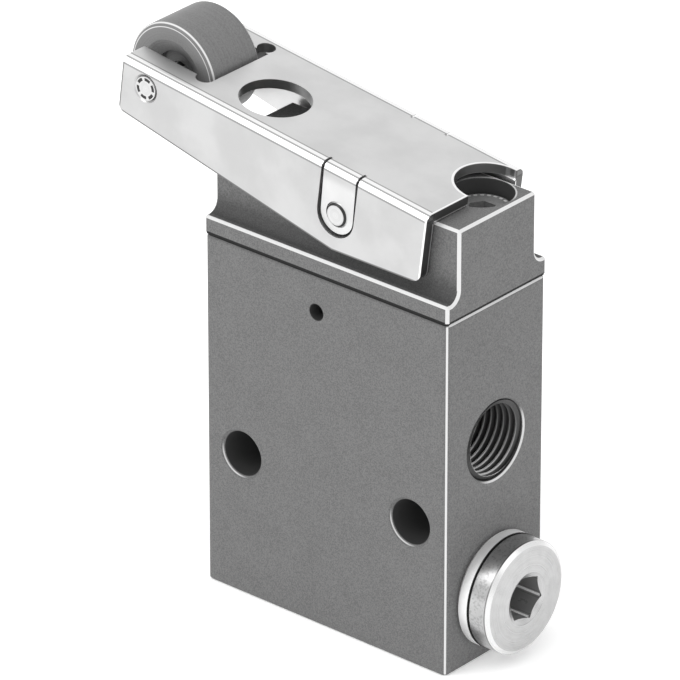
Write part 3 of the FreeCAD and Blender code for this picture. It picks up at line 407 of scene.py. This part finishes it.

# %% [markdown]
# The foot has a painted highlight along its top and on its corners. The upper part has one along its top
# and down its corners, which runs on round the hollow at the ends and out along the foot. The
# recesses have a painted highlight on the rim of their far side.

# %% Painted highlights of the head
def head_highlights(finish):
    """Painted highlights on the corners, both rims, the line round the hollow at the ends, and the rims of
    the recesses.
    """
    up, across = along(finish, "Z"), abs(along(finish, "Y"))
    round_top, round_side = FOOT_TOP + HOLLOW, UPPER_HALF + HOLLOW
    corners = box_edges(finish, (head_low.x, head_low.y, -FAR), (head_high.x, head_high.y, FAR), CORNER)
    ledge = box_edges(finish, (-FAR, head_low.y, -FAR), (FAR, head_high.y, FOOT_TOP), CORNER)
    upper = box_edges(finish, (head_low.x, -UPPER_HALF, -FAR),
                      (head_high.x, UPPER_HALF, head_high.z), CORNER)
    upper = upper * rise(up, round_top - 0.1 * MM, round_top)
    hollows = [ring(finish, (0, side * round_side, round_top), "X", HOLLOW - 0.1 * MM, HOLLOW + 0.3 * MM)
               for side in (-1, 1)]
    at_ends = rise(abs(along(finish, "X")), head_high.x - 0.3 * MM, head_high.x - 0.25 * MM)
    turn = (hollows[0] + hollows[1]) * at_ends * fall(up, round_top, round_top + 0.1 * MM)
    tip = box_edges(finish, (head_low.x, -FAR, -FAR), (head_high.x, FAR, FOOT_TOP), CORNER)
    tip = tip * rise(across, round_side - 0.1 * MM, round_side)
    rims = [ring(finish, centre, "Z", RECESS - 0.02 * MM, RECESS + 0.16 * MM)
            * rise(along(finish, "Y") - centre[1], 0.0, 2 * MM) * 0.6 for centre in HEAD_SCREWS]
    return rise(corners + ledge + upper + turn + tip + rims[0] + rims[1], 0.0, 1.0)


head_finish = blasted("blasted_head", 104, head_recess_shade, head_shadow, head_highlights)
print("head", [round(v / MM, 1) for v in head_high - head_low], "mm")

# %% [markdown]
# ## Satin sheet steel
# The lever is cut and folded from bright sheet. It has faint lines from the rolls along its length
# and soft cloudy stains from handling. The lines are a noise stretched along the lever. The lever
# rests at a tilt, so a Mapping node turns the pattern and the masks to the lever's own axes, which
# start at its pin. Marks are then laid one over another, as coats of paint are, by `repaint`.

# %% The sheet and its own axes
REST_TILT = math.radians(7.412)
PLATE_TOP = 5.84 * MM
WALL_FACE = 8.3 * MM
SHEET = 1.2 * MM
plate_under = PLATE_TOP - SHEET
wall_inside = WALL_FACE - SHEET


def middle(node):
    """The middle of a solid's box."""
    low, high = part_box(node)
    return tuple((low + high) / 2)


def repaint(finish, share, tone):
    """Lays a tone over what a finish has so far."""
    so_far = finish.shader.inputs["Base Color"].links[0].from_socket
    finish.set("Base Color", blend(share, Signal(finish, so_far), tone))


pin_centre = middle("pivot_pin")
steel = Finish("satin_sheet_steel", metallic=1.0)
own_place = steel.add("ShaderNodeMapping", {"vector_type": "TEXTURE"}, {
    "Vector": steel.place, "Location": pin_centre, "Rotation": (0, REST_TILT, 0)})
x_own, z_own = along(steel, "X", own_place), along(steel, "Z", own_place)
y_own = abs(along(steel, "Y", own_place))
rolled = grain(steel, 0.05 * MM, stretch=(60, 1, 1), turn=REST_TILT, detail=2.0)
stains = grain(steel, 5 * MM, detail=5.0)
stained = rise(stains, 0.3, 0.7)
on_wall = rise(y_own, WALL_FACE - 0.1 * MM, WALL_FACE - 0.05 * MM)
# The walls take a darker copy of the plate's tone: painted shade on the sides.
plate_tone, shaded_wall_tone = (blend(stained, grey(low), grey(high)) for low, high in ((206, 216), (186, 197)))
steel.set("Base Color", blend(on_wall, plate_tone, shaded_wall_tone))
print("lever tilts", round(math.degrees(REST_TILT), 1), "degrees at rest")

# %% [markdown]
# The outside of the two bends gets a painted highlight, with a faint dark line beside it.
# Cut edges are painted darker than the rolled skin. The side wall's lower edge slopes down to the pin and
# up again, so its line is the higher of two. The two pins sit in countersinks, and the lower right
# side of each gets a painted shade.

# %% Dark lines beside the bends, the sheared edge and the countersinks
END = -32.6 * MM
TAIL = 12.8 * MM
EDGE_AT_PIN = -4.45 * MM
FRONT_RISE = 3.35 * MM
REAR_RISE = 1.65 * MM
BEND_REACH = (0.01 * MM, 1.05 * MM, 0.72 * MM)
SIDE_LINE_REACH = (0.01 * MM, 1.25 * MM, 0.95 * MM)
axle_centre = middle("roller_axle")

lever_box = ((-FAR, -WALL_FACE, -FAR), (FAR, WALL_FACE, PLATE_TOP))
bends = box_edges(steel, *lever_box, BEND_REACH, own_place)
# A faint dark line beside each bend.
bend_side_line = box_edges(steel, *lever_box, SIDE_LINE_REACH, own_place) - bends
repaint(steel, bend_side_line * 0.55, grey(100))

front_slope = EDGE_AT_PIN + x_own * (FRONT_RISE / END)
rear_slope = EDGE_AT_PIN + x_own * (REAR_RISE / TAIL)
lower_edge = x_own.math("MAXIMUM", front_slope, rear_slope)
sheared = fall(z_own - lower_edge, 0.12 * MM, 0.22 * MM) + fall(x_own - END, 0.1 * MM, 0.2 * MM)
# Painted shade on the lower right side of each countersink round the pins.
sinks = [ring(steel, centre, "Y", radius, radius + 0.16 * MM) * rise(
    along(steel, "X") - along(steel, "Z") - centre[0] + centre[2], -1.2 * MM, 1.6 * MM)
    for centre, radius in ((pin_centre, 1.56 * MM), (axle_centre, 1.5 * MM))]
repaint(steel, (rise(sheared, 0.0, 1.0) + sinks[0] + sinks[1]) * on_wall * 0.7, grey(60))
print("lever wall from", round(END / MM, 1), "to", round(TAIL / MM, 1), "mm along the lever")

# %% [markdown]
# Painted highlights come next: the bends, a rim round the notch over the screw, and the rim of the short
# end. A thin dark line runs along each bend. The cut faces
# of the short end and of the wall beside it are painted dark.

# %% Bright lines and cut faces
NOTCH = (12.6 * MM, 2.9 * MM, 0)
NOTCH_RIM_RADIUS = 4.45 * MM

cut_end = rise(x_own, TAIL - 0.05 * MM, TAIL - 0.02 * MM)
bright_end = rise(x_own, TAIL - 0.32 * MM, TAIL - 0.26 * MM) - cut_end
round_notch = fall(round_from(steel, NOTCH, "Z", own_place), NOTCH_RIM_RADIUS, NOTCH_RIM_RADIUS + 0.05 * MM)
rim_highlight = rise(z_own, PLATE_TOP - 0.1 * MM, PLATE_TOP - 0.05 * MM) * round_notch
# Painted highlights on the bends, the rim of the notch and the rim of the short end.
repaint(steel, rise(bends + rim_highlight + bright_end, 0.0, 1.0), grey(248))

# A thin dark line along each bend.
bend_line = rise(z_own, PLATE_TOP - 0.16 * MM, PLATE_TOP - 0.12 * MM)
bend_line = bend_line - rise(z_own, PLATE_TOP - 0.06 * MM, PLATE_TOP - 0.03 * MM)
repaint(steel, bends * bend_line * 0.65, grey(105))

cut_wall = band(y_own, wall_inside + 0.04 * MM, WALL_FACE - 0.1 * MM)
cut_wall = cut_wall * fall(z_own, plate_under - 0.1 * MM, plate_under)
cut_wall = cut_wall * rise(x_own, TAIL - 1.8 * MM, TAIL - 1.6 * MM)
repaint(steel, rise(cut_end + cut_wall, 0.0, 1.0) * 0.88, grey(66))
print("notch", round(NOTCH_RIM_RADIUS * 2 / MM, 1), "mm across its burr")

# %% [markdown]
# The punched edges of the slot, the hole and the notch are seen from above as a stripe of painted shade as
# thick as the sheet. At the short end the inner corner of the sheet gets a fine painted highlight, down the
# inside of each wall and across under the plate. The roughness follows the rolled lines and is
# lower on the polished bends.

# %% Punched edges and the inner rim
# Painted shade on the punched edges.
punched = rise(z_own, plate_under + 0.03 * MM, plate_under + 0.07 * MM)
punched = punched - rise(z_own, PLATE_TOP - 0.07 * MM, PLATE_TOP - 0.04 * MM)
punched = punched * fall(y_own, wall_inside - 0.2 * MM, wall_inside - 0.15 * MM) * (1 - cut_end)
repaint(steel, punched * 0.55, grey(80))

# A painted highlight on the inner corner of the sheet at the short end.
rim_down = fall(y_own, wall_inside + 0.13 * MM, wall_inside + 0.16 * MM)
rim_down = rim_down * rise(y_own, wall_inside - 0.03 * MM, wall_inside - 0.01 * MM)
rim_down = rim_down * fall(z_own, plate_under - 0.15 * MM, plate_under - 0.1 * MM)
rim_down = rim_down * rise(x_own, TAIL - 1.4 * MM, TAIL - 1.3 * MM)
rim_across = fall(z_own, plate_under + 0.13 * MM, plate_under + 0.16 * MM)
rim_across = rim_across * fall(y_own, wall_inside - 0.1 * MM, wall_inside - 0.05 * MM)
repaint(steel, rise(rim_down + rim_across * cut_end, 0.0, 1.0) * 0.9, grey(232))

steel.set("Roughness", 0.34 + rolled * 0.1 - bends * 0.1 + stains * 0.03)
relief(steel, rolled, 0.12, 0.01 * MM)
print("sheet", round(SHEET / MM, 1), "mm thick")

# %% [markdown]
# ## Turned metal
# The plug, its sealing ring, the pins and the inner parts are turned on a lathe, which leaves fine
# rings round the axis. A noise of the distance from that axis gives rings of uneven depth, where a
# plain wave would look like a record. The nickel on the plug is shinier than the bare pins.

# %% Finishes of the turned pieces
def lathe_lines(finish, radius, spacing):
    """Uneven rings round an axis, about this far apart."""
    return finish.add("ShaderNodeTexNoise", {"noise_dimensions": "1D"},
                      {"W": radius * (1 / spacing), "Scale": 1.0, "Detail": 2.0})


def turned(name, centre, axis, shade, roughness, spacing=0.12 * MM, tint=(1, 1, 1)):
    """Metal with fine lathe rings round the axis through the centre."""
    finish = Finish(name, metallic=1.0)
    rings = lathe_lines(finish, round_from(finish, centre, axis), spacing)
    spots = grain(finish, 1.5 * MM)
    low, high = (tuple(v * t for v, t in zip(grey(s)[:3], tint)) + (1.0,) for s in (shade - 9, shade + 9))
    finish.set("Base Color", blend(rise(rings * 0.6 + spots * 0.4, 0.3, 0.7), low, high))
    finish.set("Roughness", roughness + rings * 0.08 + spots * 0.05)
    relief(finish, rings, 0.2, 0.01 * MM)
    return finish


BRASS = (1.0, 0.8, 0.45)
tappet_steel = turned("tappet_steel", middle("tappet"), "Z", 205, 0.25)
stem_steel = turned("stem_steel", middle("valve_stem"), "Z", 200, 0.28)
nickel = turned("nickel_plug", middle("blanking_plug"), "X", 186, 0.22)
ring_nickel = turned("nickel_ring", middle("plug_seal"), "X", 248, 0.5)
brass = turned("turned_brass", middle("seat_sleeve"), "Z", 225, 0.3, tint=BRASS)
bush_brass = turned("bush_brass", middle("tappet_bush"), "Z", 225, 0.3, tint=BRASS)

# %% [markdown]
# The plug's collar gets a painted reflection: a thin dark line where the side ends, then a
# bright cone of painted highlight. Darker spots on the side are a painted, mottled reflection. The sealing
# ring has a dark gap of painted shade beside the collar.

# %% Lines on the plug and its ring
plug_middle = middle("blanking_plug")
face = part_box("blanking_plug")[1].x
ring_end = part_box("plug_seal")[1].x
COLLAR_SIDE = 6.6 * MM
CONE_START = 6.28 * MM
from_axis = round_from(nickel, plug_middle, "X")
reach_x = along(nickel, "X")
on_side = rise(from_axis, COLLAR_SIDE, COLLAR_SIDE + 0.1 * MM)

# A painted reflection: a thin dark line where the collar's side ends.
shoulder = band(reach_x, face - 0.78 * MM, face - 0.62 * MM)
repaint(nickel, shoulder * on_side * 0.6, grey(60))
# Darker spots of painted reflection on the side.
mottled_reflection = rise(grain(nickel, 0.32 * MM), 0.5, 0.64) * fall(reach_x, face - 0.9 * MM, face - 0.8 * MM)
repaint(nickel, mottled_reflection * on_side * 0.28, grey(70))
# A painted highlight on the cone.
cone = rise(reach_x, face - 0.6 * MM, face - 0.56 * MM)
repaint(nickel, cone * rise(from_axis, CONE_START, CONE_START + 0.08 * MM), grey(222))
# Painted shade in the gap beside the collar.
gap = rise(along(ring_nickel, "X"), ring_end - 0.35 * MM, ring_end - 0.25 * MM)
repaint(ring_nickel, gap, grey(45))
print("sealing ring ends", round((face - ring_end) / MM, 2), "mm before the plug's face")

# %% [markdown]
# The hexagon is painted dark inside as shade, where little light gets, and its six corners get a painted
# highlight. They are found by
# the angle round the axis: a cosine that repeats six times in a turn is near 1 at each corner.

# %% The plug's hexagon
HEXAGON = 5 * MM
FIRST_CORNER = math.radians(45)
corner_reach = HEXAGON / math.sqrt(3)
socket = fall(from_axis, corner_reach + 0.063 * MM, corner_reach + 0.113 * MM)
socket = socket * fall(reach_x, face - 0.45 * MM, face - 0.4 * MM)
angle = angle_round(nickel, plug_middle, "Y", "Z")
corner = angle.math("COSINE", (angle - FIRST_CORNER) * 6, 0.0)
outermost = rise(from_axis, corner_reach - 0.437 * MM, corner_reach - 0.287 * MM)
# Painted shade inside the hexagon, and a painted highlight on its six corners.
repaint(nickel, socket, grey(122))
repaint(nickel, socket * rise(corner, 0.93, 0.98) * outermost, grey(250))
nickel.set("Metallic", 1 - socket * 0.8)
print("hexagon", round(2 * corner_reach / MM, 2), "mm over its corners")

# %% [markdown]
# ## The riveted ends
# The pins are cut from rod and stand flush with the lever's walls; a dark ring of painted shade runs near
# the rim of their ends. The roller's axle is staked: a tool with a toothed edge spreads its rim, which
# leaves a ring of short dents, shown by painted shade. The ring is a band of radius, and the sine of the
# angle round the axle breaks it into dents.

# %% The pins
def staked(name, centre, ring_low, ring_high, dents):
    """Ground steel with a dark ring of painted shade on its end faces, broken into dents where dents is
    above 0.
    """
    finish = turned(name, centre, "Y", 205, 0.36, spacing=0.2 * MM)
    marks = ring(finish, centre, "Y", ring_low, ring_high)
    if dents:
        angle = angle_round(finish, centre, "X", "Z")
        marks = marks * rise(angle.math("SINE", angle * dents, 0.0), -0.75, -0.35)
    # Painted shade in the ring and its dents.
    repaint(finish, marks * 0.95, grey(42))
    return finish


axle_finish = staked("staked_axle", axle_centre, 0.92 * MM, 1.3 * MM, 6)
pin_finish = staked("pivot_pin", pin_centre, 1.18 * MM, 1.42 * MM, 0)
print("axle centre", [round(v / MM, 2) for v in axle_centre], "mm")

# %% [markdown]
# ## The roller
# The roller is grey plastic, turned from bar. Its faces and tread have fine turning lines and a
# dull shine. Its face is painted a little lighter than its tread, as painted light. The rim has two thin
# painted highlights, where the face meets the bevel and where the bevel meets the tread. The hub lies deep
# in the dish, under a painted shade.

# %% Roller finish
FACE_LINE = (5.82 * MM, 5.93 * MM)
TREAD_LINE = (6.2 * MM, 6.34 * MM)
roller_centre = middle("roller")
plastic = Finish("turned_plastic", roughness=0.4)
radius = round_from(plastic, roller_centre, "Y")
turning = lathe_lines(plastic, radius, 0.15 * MM)
speckle = grain(plastic, 0.2 * MM, detail=2.0)
tread = grain(plastic, 0.12 * MM, stretch=(40, 1, 40), detail=1.0)
body_tone = blend(rise(turning * 0.3 + speckle * 0.45 + tread * 0.25, 0.35, 0.65), grey(95), grey(116))
# Painted light: the face is a little lighter than the tread.
painted_light_share = rise(radius, 3.6 * MM, 5.8 * MM) - rise(radius, 6.36 * MM, 6.38 * MM)
plastic.set("Base Color", blend(painted_light_share * 0.7, body_tone, grey(118)))
# Two thin painted highlights on the rim.
roller_rim_highlight = band(radius, *FACE_LINE) + band(radius, *TREAD_LINE)
repaint(plastic, roller_rim_highlight * 0.85, grey(225))
# Painted shade in the dish round the hub.
dish = fall(radius, 2.4 * MM, 4.4 * MM)
repaint(plastic, dish * 0.6, grey(45))
plastic.set("Roughness", 0.38 + speckle * 0.12)
relief(plastic, turning * 0.5 + speckle * 0.5, 0.25, 0.02 * MM)

# %% [markdown]
# ## Rubber, blackened screws and the gasket
# The rest is dark: rubber seals with a dull mottled skin, two screws with a black oxide skin, and
# the thin sheet in the joint. They share one way of making: a dark tone with a fine grain. The
# screw heads have a knurled rim, whose teeth get a painted highlight, and the spring wire is brighter.

# %% Dark finishes
def dark_skin(name, shade, metallic, roughness):
    """A plain tone with a fine mottle, also in its relief."""
    finish = Finish(name, metallic=metallic)
    mottle = grain(finish, 0.3 * MM)
    finish.set("Base Color", blend(mottle, grey(shade * 0.8), grey(shade * 1.2)))
    finish.set("Roughness", roughness + mottle * 0.15)
    relief(finish, mottle, 0.3, 0.02 * MM)
    return finish


rubber = dark_skin("seal_rubber", 42, 0.0, 0.6)
gasket = dark_skin("gasket_sheet", 30, 0.0, 0.75)
wire_steel = dark_skin("spring_wire", 190, 1.0, 0.3)
screw_black = dark_skin("black_screws", 138, 0.4, 0.5)

KNURL_TEETH = 26
KNURL_RIM = (3.02 * MM, 3.34 * MM)
for centre in HEAD_SCREWS:
    angle = angle_round(screw_black, centre, "X", "Y")
    teeth = rise(angle.math("SINE", angle * KNURL_TEETH, 0.0), -0.5, 0.1)
    # A painted highlight on the teeth of the knurled rim.
    knurl_highlight = ring(screw_black, centre, "Z", *KNURL_RIM) * teeth
    repaint(screw_black, knurl_highlight * 0.85, grey(240))
print("four dark finishes, and", KNURL_TEETH, "teeth on each screw's rim")

# %% [markdown]
# ## Dress the solids
# Each solid keeps its shape and gets its finish in its own material slots. Its mesh is loose
# triangles, which would show as flat facets on the round pieces. Two live modifiers see to that
# without touching the mesh: Weld joins the corners, and Edge Split keeps the sharp edges sharp.

# %% Put each finish on its solids
DRESS = {
    block_finish: ["valve_body"],
    head_finish: ["actuator_head"],
    steel: ["lever"],
    nickel: ["blanking_plug"],
    ring_nickel: ["plug_seal"],
    axle_finish: ["roller_axle"],
    pin_finish: ["pivot_pin"],
    plastic: ["roller"],
    tappet_steel: ["tappet", "pilot_poppet"],
    stem_steel: ["valve_stem", "pilot_piston"],
    brass: ["seat_sleeve"],
    bush_brass: ["tappet_bush", "pilot_cap"],
    rubber: ["piston_seal", "inlet_seal", "exhaust_seal"],
    gasket: ["head_gasket"],
    screw_black: ["head_screws"],
    wire_steel: ["return_spring", "pilot_spring"],
}
for finish, names in DRESS.items():
    for name in names:
        solid = nodes[name]
        solid.data.materials.clear()
        solid.data.materials.append(finish.material)
        solid.data.shade_smooth()
        weld = solid.modifiers.new("join_corners", "WELD")
        weld.merge_threshold = 0.0005 * MM
        split = solid.modifiers.new("keep_sharp", "EDGE_SPLIT")
        split.split_angle = math.radians(22)
print(sum(len(names) for names in DRESS.values()), "solids dressed")

# %% [markdown]
# ## Threads in the ports
# Two ports have a pipe thread of 28 turns to the inch. A real thread is one groove wound round the
# hole. Spinning a profile of exactly one pitch, with a small step along the axis for each part of a
# turn, gives the same winding: each turn's end meets the next turn's start. The ends are then cut
# square, and a thin wall makes the lining a closed shell.

# %% A wound lining
PITCH = 0.907 * MM
ROOT = 4.8 * MM
CREST = 4.3 * MM
LINING_WALL = 0.04 * MM


def add_piece(name, shape, body, finish):
    """Makes an object of the shape, which rides on the body and takes its finish."""
    mesh = bpy.data.meshes.new(name)
    shape.to_mesh(mesh)
    shape.free()
    mesh.materials.append(finish.material)
    mesh.shade_smooth()
    mesh.set_sharp_from_angle(angle=math.radians(35))
    piece = bpy.data.objects.new(name, mesh)
    scene.collection.objects.link(piece)
    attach(piece, body)
    print(name, len(mesh.polygons), "faces")
    return piece


def wind_thread(length, steps=40):
    """A thread lining along +X from 0, open at both ends; its profile is in shares of a pitch."""
    turns = math.ceil(length / PITCH) + 1
    shape = bmesh.new()
    profile = [(0.0, ROOT), (0.1, ROOT), (0.44, CREST), (0.56, CREST), (0.9, ROOT), (1.0, ROOT)]
    corners = [shape.verts.new(((share - 1) * PITCH, 0, radius)) for share, radius in profile]
    edges = [shape.edges.new(pair) for pair in zip(corners, corners[1:])]
    bmesh.ops.spin(shape, geom=corners + edges, cent=(0, 0, 0), axis=(1, 0, 0),
                   dvec=(PITCH / steps, 0, 0), angle=2 * math.pi * turns, steps=steps * turns)
    bmesh.ops.remove_doubles(shape, verts=shape.verts, dist=0.001 * MM)
    for level, outward in ((0, -1), (length, 1)):
        everything = shape.verts[:] + shape.edges[:] + shape.faces[:]
        bmesh.ops.bisect_plane(shape, geom=everything, dist=0.0001 * MM, plane_co=(level, 0, 0),
                               plane_no=(outward, 0, 0), clear_outer=True)
    for face in shape.faces:
        middle_point = face.calc_center_median()
        if face.normal.dot(Vector((0, middle_point.y, middle_point.z))) > 0:
            face.normal_flip()
    bmesh.ops.solidify(shape, geom=shape.faces[:], thickness=-LINING_WALL)
    bmesh.ops.recalc_face_normals(shape, faces=shape.faces)
    return shape


print("thread", round((ROOT - CREST) / MM, 2), "mm deep")

# %% [markdown]
# The thread was cut after blasting, so it is bare alloy. Inside the hole the grooves get a painted shade,
# and only the crests that face up get a painted highlight. The mask is 1 near the crest's radius, times how
# far the surface, by its normal, looks up and to the back.

# %% Metal of the threads
def thread_metal(name, centre):
    """Cut alloy, with a painted highlight on the crests that face up and painted shade in the grooves and
    under the roof.
    """
    finish = Finish(name, metallic=0.4)
    crest = fall(round_from(finish, centre, "X"), CREST, CREST + 0.12 * MM)
    facing = finish.add("ShaderNodeTexCoord").out("Normal")
    crest = crest * rise(along(finish, "Z", facing) + along(finish, "Y", facing) * 0.4, -0.6, 1.1)
    cut_marks = grain(finish, 0.2 * MM)
    # Painted shade in the grooves, and a painted highlight on the crests that face up.
    finish.set("Base Color", blend(crest, grey(66), grey(235)))
    finish.set("Roughness", 0.3 + cut_marks * 0.2)
    relief(finish, cut_marks, 0.2, 0.01 * MM)
    return finish


outlet_metal = thread_metal("outlet_thread_metal", OUTLET)
supply_metal = thread_metal("supply_thread_metal", SUPPLY)
print("a finish for each of the two threads")

# %% [markdown]
# The outlet's lining is moved into the right end. The supply port's is turned round first, so that
# it faces the left end. Both stop just inside the mouth, which leaves the countersink clear.

# %% Thread the outlet and the supply port
THREAD_LENGTH = 8.1 * MM
MOUTH_GAP = 0.12 * MM
outlet = wind_thread(THREAD_LENGTH)
bmesh.ops.translate(outlet, verts=outlet.verts, vec=(body_high.x - MOUTH_GAP - THREAD_LENGTH, 0, OUTLET[2]))
add_piece("outlet_thread", outlet, "housing", outlet_metal)

supply = wind_thread(THREAD_LENGTH)
bmesh.ops.rotate(supply, verts=supply.verts, cent=(0, 0, 0), matrix=Matrix.Rotation(math.pi, 3, "Z"))
bmesh.ops.translate(supply, verts=supply.verts, vec=(body_low.x + MOUTH_GAP + THREAD_LENGTH, 0, SUPPLY[2]))
add_piece("supply_thread", supply, "housing", supply_metal)

# %% [markdown]
# ## Wound springs
# Two springs close the valve: one under the stem and a small one under the pilot disc. The solids
# are plain sleeves of the coil's size. Here a round wire is spun round the axis with a rise for
# each step, which is how a spring machine winds. A spring shortens as the valve opens.

# %% Springs
def wind_spring(name, node, wire, turns):
    """A coil that fills the node's box."""
    low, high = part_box(node)
    centre = (low + high) / 2
    coil = (high.x - low.x - wire) / 2
    rise_length = high.z - low.z - wire
    steps = 32
    shape = bmesh.new()
    bmesh.ops.create_circle(shape, cap_ends=True, segments=10, radius=wire / 2,
                            matrix=Matrix.Translation((coil, 0, 0)) @ Matrix.Rotation(math.pi / 2, 4, "X"))
    section = shape.verts[:] + shape.edges[:] + shape.faces[:]
    bmesh.ops.spin(shape, geom=section, cent=(0, 0, 0), axis=(0, 0, 1), angle=2 * math.pi * turns,
                   dvec=(0, 0, rise_length / (steps * turns)), steps=steps * turns)
    bmesh.ops.recalc_face_normals(shape, faces=shape.faces)
    bmesh.ops.translate(shape, verts=shape.verts, vec=(centre.x, centre.y, low.z + wire / 2))
    spring = add_piece(name, shape, "housing", wire_steel)
    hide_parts(node)
    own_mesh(spring)
    return spring


wind_spring("wound_return_spring", "return_spring", 0.6 * MM, 6)
wind_spring("wound_pilot_spring", "pilot_spring", 0.35 * MM, 4)

# %% [markdown]
# ## Floor and light
# The valve stands on a pale floor in an even white room, as in a product picture, so the bright
# steel has white to mirror. One large soft lamp from the upper left gives the faces slightly
# different tones, and a weaker one on the right keeps the end face from going dull.

# %% Floor, room and lamps
floor_finish = Finish("pale_floor", roughness=0.9)
faint = grain(floor_finish, 40 * MM)
floor_finish.set("Base Color", blend(faint, grey(250), grey(253)))
floor_finish.set("Emission Color", grey(255))
floor_finish.set("Emission Strength", 0.25)
floor_mesh = bpy.data.meshes.new("floor")
sheet = bmesh.new()
bmesh.ops.create_grid(sheet, x_segments=1, y_segments=1, size=4)
sheet.to_mesh(floor_mesh)
sheet.free()
floor_mesh.materials.append(floor_finish.material)
floor = bpy.data.objects.new("floor", floor_mesh)
scene.collection.objects.link(floor)

room = bpy.data.worlds.new("white_room")
room.use_nodes = True
room.node_tree.nodes["Background"].inputs["Color"].default_value = (1, 1, 1, 1)
room.node_tree.nodes["Background"].inputs["Strength"].default_value = 1.0
scene.world = room
scene.view_settings.view_transform = "Standard"


def soft_lamp(name, place, size, power):
    """A round lamp at the place, turned to the valve."""
    lamp = bpy.data.lights.new(name, "AREA")
    lamp.shape = "DISK"
    lamp.size = size
    lamp.energy = power
    holder = bpy.data.objects.new(name, lamp)
    holder.location = place
    holder.rotation_mode = "QUATERNION"
    holder.rotation_quaternion = (target - holder.location).to_track_quat("-Z", "Y")
    scene.collection.objects.link(holder)


soft_lamp("upper_left", Vector((-0.5, -0.9, 1.1)), 0.8, 6)
soft_lamp("right", Vector((1.2, 0.3, 0.7)), 0.8, 1)
print("floor and two lamps")
